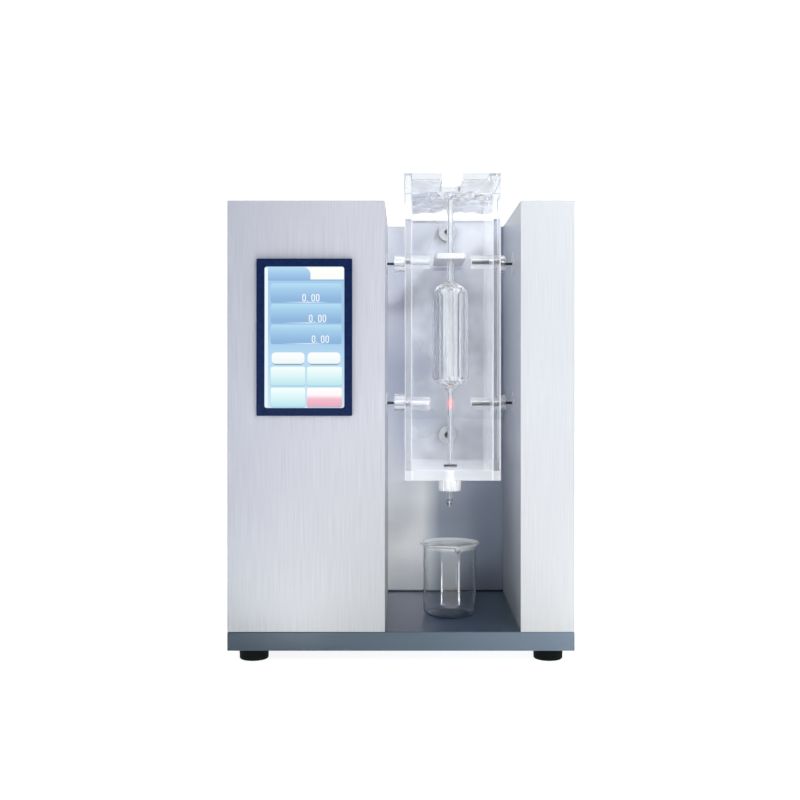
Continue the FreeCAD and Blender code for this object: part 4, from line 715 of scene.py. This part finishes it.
drop_outline = [(0, -1.9), (1.3, -1.7), (2.5, -0.8), (3.3, 0.8), (3.7, 2.6), (3.65, 4.2),
                (3.35, 5.4), (3.15, 6.2), (3.15, 5.0), (1.86, -0.05), (0, -0.05)]
drop_mesh = turned_mesh("hanging_drop", drop_outline, pipette_box[0][2])
drop_water = clear("drop_of_liquid", "#fcfeff", WATER)
drop = piece("hanging_drop", drop_mesh, [drop_water], body="glass")
drop.visible_shadow = False

# %% [markdown]
# The touch screen is lit from within, so its surfaces give light themselves.
# The page is built from thin raised tiles over the panel: a tab, three fields
# for values, two pills and four keys. Places are millimetres to the right of
# and below the lit window's upper left corner, as on a drawing of the page.

# %% Touch screen
bezel_low, bezel_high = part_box("display_bezel")
panel_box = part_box("display_panel")
LIT_WIDE, LIT_HIGH = 85, 150
lit_left = (bezel_low[0] + bezel_high[0]) / 2 - LIT_WIDE * MM / 2
lit_top = (bezel_low[2] + bezel_high[2]) / 2 + LIT_HIGH * MM / 2
lit_front = panel_box[0][1]
TILE_DEEP = 0.12
FIGURE_WIDE, FIGURE_HIGH, FIGURE_STROKE = 3.7, 7.7, 0.9


def glowing(name, stops, start, end, axis="Z"):
    """A surface that gives light, in a colour that changes down the page, or across it."""
    material, shader = finish(name, "#05070a", roughness=0.25, Emission_Strength=1.0, Specular_IOR_Level=0.2)
    if axis == "Z":
        run = place_along(material, "Z", lit_top / MM - end, lit_top / MM - start)
        stops = [(1 - place, text) for place, text in reversed(stops)]
    else:
        run = place_along(material, "X", lit_left / MM + start, lit_left / MM + end)
    tone = ramp(material, run, stops)
    join(material, tone, shader, "Emission Color")
    return material


def corner_arc(across, down, radius, start):
    """Points of a quarter circle about a corner's middle, in page millimetres."""
    steps = 6
    points = []
    for step in range(steps + 1):
        angle = math.radians(start + 90 * step / steps)
        points.append((across + radius * math.cos(angle), down + radius * math.sin(angle)))
    return points


def rounded_outline(left, top, right, bottom, radii):
    """A rectangle's outline with its own radius at each corner, from the upper left one on."""
    places = ((left, top, 1, 1, 180), (right, top, -1, 1, 270), (right, bottom, -1, -1, 0), (left, bottom, 1, -1, 90))
    points = []
    for radius, (across, down, inward_x, inward_y, start) in zip(radii, places):
        if radius:
            points += corner_arc(across + inward_x * radius, down + inward_y * radius, radius, start)
        else:
            points.append((across, down))
    return points


def on_page(point, layer):
    return lit_left + point[0] * MM, lit_front - layer * TILE_DEEP * MM, lit_top - point[1] * MM


def raise_tile(build, outline, layer, hole=None):
    """Add a thin slab, or a ring of the same number of points, to a mesh."""
    loops = []
    for line in (outline, hole or []):
        for level in (layer, layer - 1):
            loops.append([build.verts.new(on_page(point, level)) for point in line])
    face, back, inner_face, inner_back = loops
    count = len(outline)
    if hole is None:
        build.faces.new(face)
        build.faces.new(list(reversed(back)))
    for step in range(count):
        after = (step + 1) % count
        build.faces.new((face[after], face[step], back[step], back[after]))
        if hole:
            build.faces.new((inner_face[step], inner_face[after], inner_back[after], inner_back[step]))
            build.faces.new((face[step], face[after], inner_face[after], inner_face[step]))
            build.faces.new((back[after], back[step], inner_back[step], inner_back[after]))


def tiles(name, shapes, material):
    """One object of several tiles; each shape is an outline, a layer and perhaps a hole."""
    build = bmesh.new()
    for outline, layer, *hole in shapes:
        raise_tile(build, outline, layer, *hole)
    bmesh.ops.recalc_face_normals(build, faces=build.faces)
    piece(name, as_mesh(name, build), [material], smooth=False)


def box_tile(name, left, top, right, bottom, radii, stops, layer=2, axis="Z"):
    """A lit rectangle of the page; one radius does for all corners, or each has its own."""
    if not isinstance(radii, tuple):
        radii = (radii,) * 4
    start, end = (top, bottom) if axis == "Z" else (left, right)
    material = glowing(f"lit_{name}", stops, start, end, axis)
    tiles(name, [(rounded_outline(left, top, right, bottom, radii), layer)], material)


def zero(left, top):
    """A figure nought as a ring, its ends all but half round."""
    right, bottom = left + FIGURE_WIDE, top + FIGURE_HIGH
    stroke, radius = FIGURE_STROKE, FIGURE_WIDE / 2 - 0.01
    outside = rounded_outline(left, top, right, bottom, (radius,) * 4)
    inside = rounded_outline(left + stroke, top + stroke, right - stroke, bottom - stroke, (radius - stroke,) * 4)
    return outside, 3, inside


def reading(left, top):
    """The figures 0.00 with their point."""
    point = rounded_outline(left + 5, top + 6.6, left + 6, top + 7.6, (0.3,) * 4)
    return [zero(left, top), (point, 3), zero(left + 9.6, top), zero(left + 14.4, top)]


dark_glass = grained("unlit_display_glass", "#04101f", "#06152a", 3.0, 0.004, roughness=0.12)
dress(["display_panel"], dark_glass)
page_tones = [(0, "#a9cdec"), (0.45, "#9fc6e8"), (0.62, "#b4d8f2"), (1, "#cfe6f3")]
box_tile("screen_page", 0.3, 0.3, LIT_WIDE - 0.3, LIT_HIGH - 0.3, 2.6, page_tones, layer=1)
box_tile("screen_edge_light", 1.0, 1.2, 4.0, 148.8, 1.4, [(0, "#f6fcff"), (1, "#e9f7fd")])
box_tile("screen_title", 4.4, 0.8, 84.2, 13.8, (0, 2, 0, 0), [(0, "#fdfefa"), (1, "#fbfcf9")])
tab_tones = [(0, "#b8def6"), (0.5, "#a2c9eb"), (1, "#93b5df")]
box_tile("screen_tab", 4.4, 0.8, 49, 14.4, (1.5, 8, 0, 0), tab_tones, layer=3)
box_tile("screen_rule", 4.4, 14.4, 84.2, 15.2, 0, [(0, "#8fb0d8"), (1, "#8fb0d8")])
row_tones = [(0, "#b6dff5"), (0.35, "#a3cbea"), (0.8, "#8fb7dd"), (1, "#8cb3db")]
row_glow = [(0, "#92b9de"), (0.3, "#c3ddf3"), (0.55, "#f2f9ff"), (0.8, "#c3ddf3"), (1, "#92b9de")]
figures = []
for number, (row_top, figure_left) in enumerate(((18, 40.4), (39.8, 47.4), (61.7, 50.4)), 1):
    box_tile(f"screen_row_{number}", 6.9, row_top, 81.8, row_top + 20.7, 2.4, row_tones)
    box_tile(f"screen_row_glow_{number}", 20, row_top + 19.6, 68, row_top + 20.4, 0.3, row_glow, layer=3, axis="X")
    figures += reading(figure_left, row_top + 11.4)
tiles("screen_figures", figures, glowing("lit_figures", [(0, "#ffffff"), (1, "#f4faff")], 0, LIT_HIGH))
pill_shade = [(0, "#8fa9ba"), (1, "#7f9db2")]
key_shade = [(0, "#a9cfe4"), (0.9, "#9cc6de"), (1, "#7fadcc")]
pill_tones = [(0, "#fdfffd"), (1, "#eef6f8")]
key_tones = [(0, "#f6fffe"), (0.45, "#e0f6f7"), (1, "#b8e6f0")]
red_tones = [(0, "#ffffff"), (0.38, "#fff6f7"), (0.6, "#f3bccd"), (1, "#e9a9bf")]
for hand, left, right in (("left", 8, 42.7), ("right", 46, 80.6)):
    box_tile(f"screen_pill_shade_{hand}", left + 0.6, 92.5, right - 0.6, 104.2, 4, pill_shade)
    box_tile(f"screen_pill_{hand}", left, 91, right, 103, 4, pill_tones, layer=3)
for hand, left, right in (("left", 6.9, 43.5), ("right", 45.2, 82.2)):
    lower_tones = red_tones if hand == "right" else key_tones
    for row, top, bottom, tones in (("upper", 106, 126.2, key_tones), ("lower", 128.2, 148.4, lower_tones)):
        box_tile(f"screen_key_shade_{row}_{hand}", left - 0.2, top - 0.1, right + 0.2, bottom + 0.6, 2.4, key_shade)
        box_tile(f"screen_key_{row}_{hand}", left, top, right, bottom, 2.2, tones, layer=3)

# %% [markdown]
# The camera stands level, 1.2 m in front of the columns, a little above the
# middle of the body. Its picture is shifted rather than tilted, which keeps
# the upright edges upright, as in the photo. Its place follows from the point
# where the bay's receding edges would meet.

# %% Camera
PHOTO_WIDE = 800
VANISHING_X, VANISHING_Y = 405, 369
MM_PER_PIXEL = 1.0593
STAND_OFF = 1200
SENSOR = 36
EYE_X, EYE_Z = 4.3, 312.5
front_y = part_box("left_cabinet_shell")[0][1]
camera_data = bpy.data.cameras.new("camera")
camera_data.sensor_width = SENSOR
camera_data.lens = SENSOR * STAND_OFF / (MM_PER_PIXEL * PHOTO_WIDE)
camera_data.shift_x = (PHOTO_WIDE / 2 - VANISHING_X) / PHOTO_WIDE
camera_data.shift_y = (VANISHING_Y - PHOTO_WIDE / 2) / PHOTO_WIDE
camera = placed("camera", camera_data)
camera.location = (EYE_X * MM, front_y - STAND_OFF * MM, EYE_Z * MM)
camera.rotation_euler = (math.radians(90), 0, 0)
scene.camera = camera

# %% [markdown]
# The stage is a pale floor that curves up behind. The key lamp stands to the
# right in front, a large soft one above, and two narrow strips give the upright
# glints on glass. The beaker stands so low that its walls mirror the floor, so
# two more strips lie there for it. They don't show on the floor's white.

# %% Stage and light
FLOOR_GLOW = 0.86
# Turn from straight ahead of the glass in degrees, half width in millimetres, added glow
FLOOR_STRIPS = ((-35, 7, 26), (37.5, 15, 13))
STRIP_MIDDLE, STRIP_HALF = 440, 170


def floor_finish():
    """White that gives a little light, with two brighter strips that run from the glass to the front."""
    material, shader = finish("pale_floor", "#c8c8c8", roughness=0.9, Emission_Color=colour("#ffffff"))
    split = axes_of(material)

    def value(operation, first, second, third=0.0):
        return arithmetic(material, operation, first, second, third)

    across = value("SUBTRACT", (split, "X"), glass_x)
    deep = value("SUBTRACT", (split, "Y"), glass_y)
    glow = FLOOR_GLOW
    for turn, wide, bright in FLOOR_STRIPS:
        ahead_x, ahead_y = math.sin(math.radians(turn)), -math.cos(math.radians(turn))
        side = value("MULTIPLY_ADD", deep, -ahead_x, value("MULTIPLY", across, ahead_y))
        run = value("MULTIPLY_ADD", deep, ahead_y, value("MULTIPLY", across, ahead_x))
        on_strip = value("MULTIPLY", value("COMPARE", side, 0.0, wide * MM),
                         value("COMPARE", run, STRIP_MIDDLE * MM, STRIP_HALF * MM))
        glow = value("MULTIPLY_ADD", on_strip, bright, glow)
    join(material, glow, shader, "Emission Strength")
    return material


def stage_floor():
    """A floor in metres that bends up into a wall behind the object."""
    reach, bend, tall, steps = 6.0, 1.6, 5.0, 12
    profile = [(-reach, 0.0), (reach - bend, 0.0)]
    for step in range(1, steps + 1):
        angle = math.radians(90 * step / steps)
        profile.append((reach - bend + bend * math.sin(angle), bend - bend * math.cos(angle)))
    profile.append((reach, tall))
    build = bmesh.new()
    left, right = ([build.verts.new((side, deep, up)) for deep, up in profile] for side in (-reach, reach))
    for step in range(len(profile) - 1):
        build.faces.new((left[step], right[step], right[step + 1], left[step + 1]))
    mesh = as_mesh("floor", build)
    surface(mesh, [floor_finish()], True)
    placed("floor", mesh)


stage_floor()


def lamp(name, place, aim, size, watts):
    data = bpy.data.lights.new(name, "AREA")
    data.shape = "RECTANGLE"
    data.size, data.size_y = size
    data.energy = watts
    thing = placed(name, data)
    thing.location = place
    thing.rotation_euler = (Vector(aim) - Vector(place)).to_track_quat("-Z", "Y").to_euler()


middle = (0, 0, 0.26)
low_glass = (glass_x, glass_y, 0.2)
lamp("lamp_key", (0.95, -2.1, 1.25), middle, (0.3, 0.3), 15)
lamp("lamp_above", (0.1, -0.1, 2.2), middle, (1.6, 1.2), 12)
lamp("lamp_high_left", (-1.25, -0.45, 1.5), (0.12, -0.02, 0.42), (0.5, 0.5), 2.5)
lamp("strip_left", (-0.9, -1.35, 0.45), low_glass, (0.04, 1.1), 1.2)
lamp("strip_right", (1.05, -1.33, 0.45), low_glass, (0.04, 1.1), 1.2)

world = bpy.data.worlds.new("studio")
scene.world = world
world.use_nodes = True
background = world.node_tree.nodes["Background"]
background.inputs["Color"].default_value = colour("#ffffff")
background.inputs["Strength"].default_value = 0.25
scene.view_settings.view_transform = "Standard"
scene.cycles.max_bounces = 24
scene.cycles.transmission_bounces = 24
scene.cycles.glossy_bounces = 8
scene.cycles.transparent_max_bounces = 24
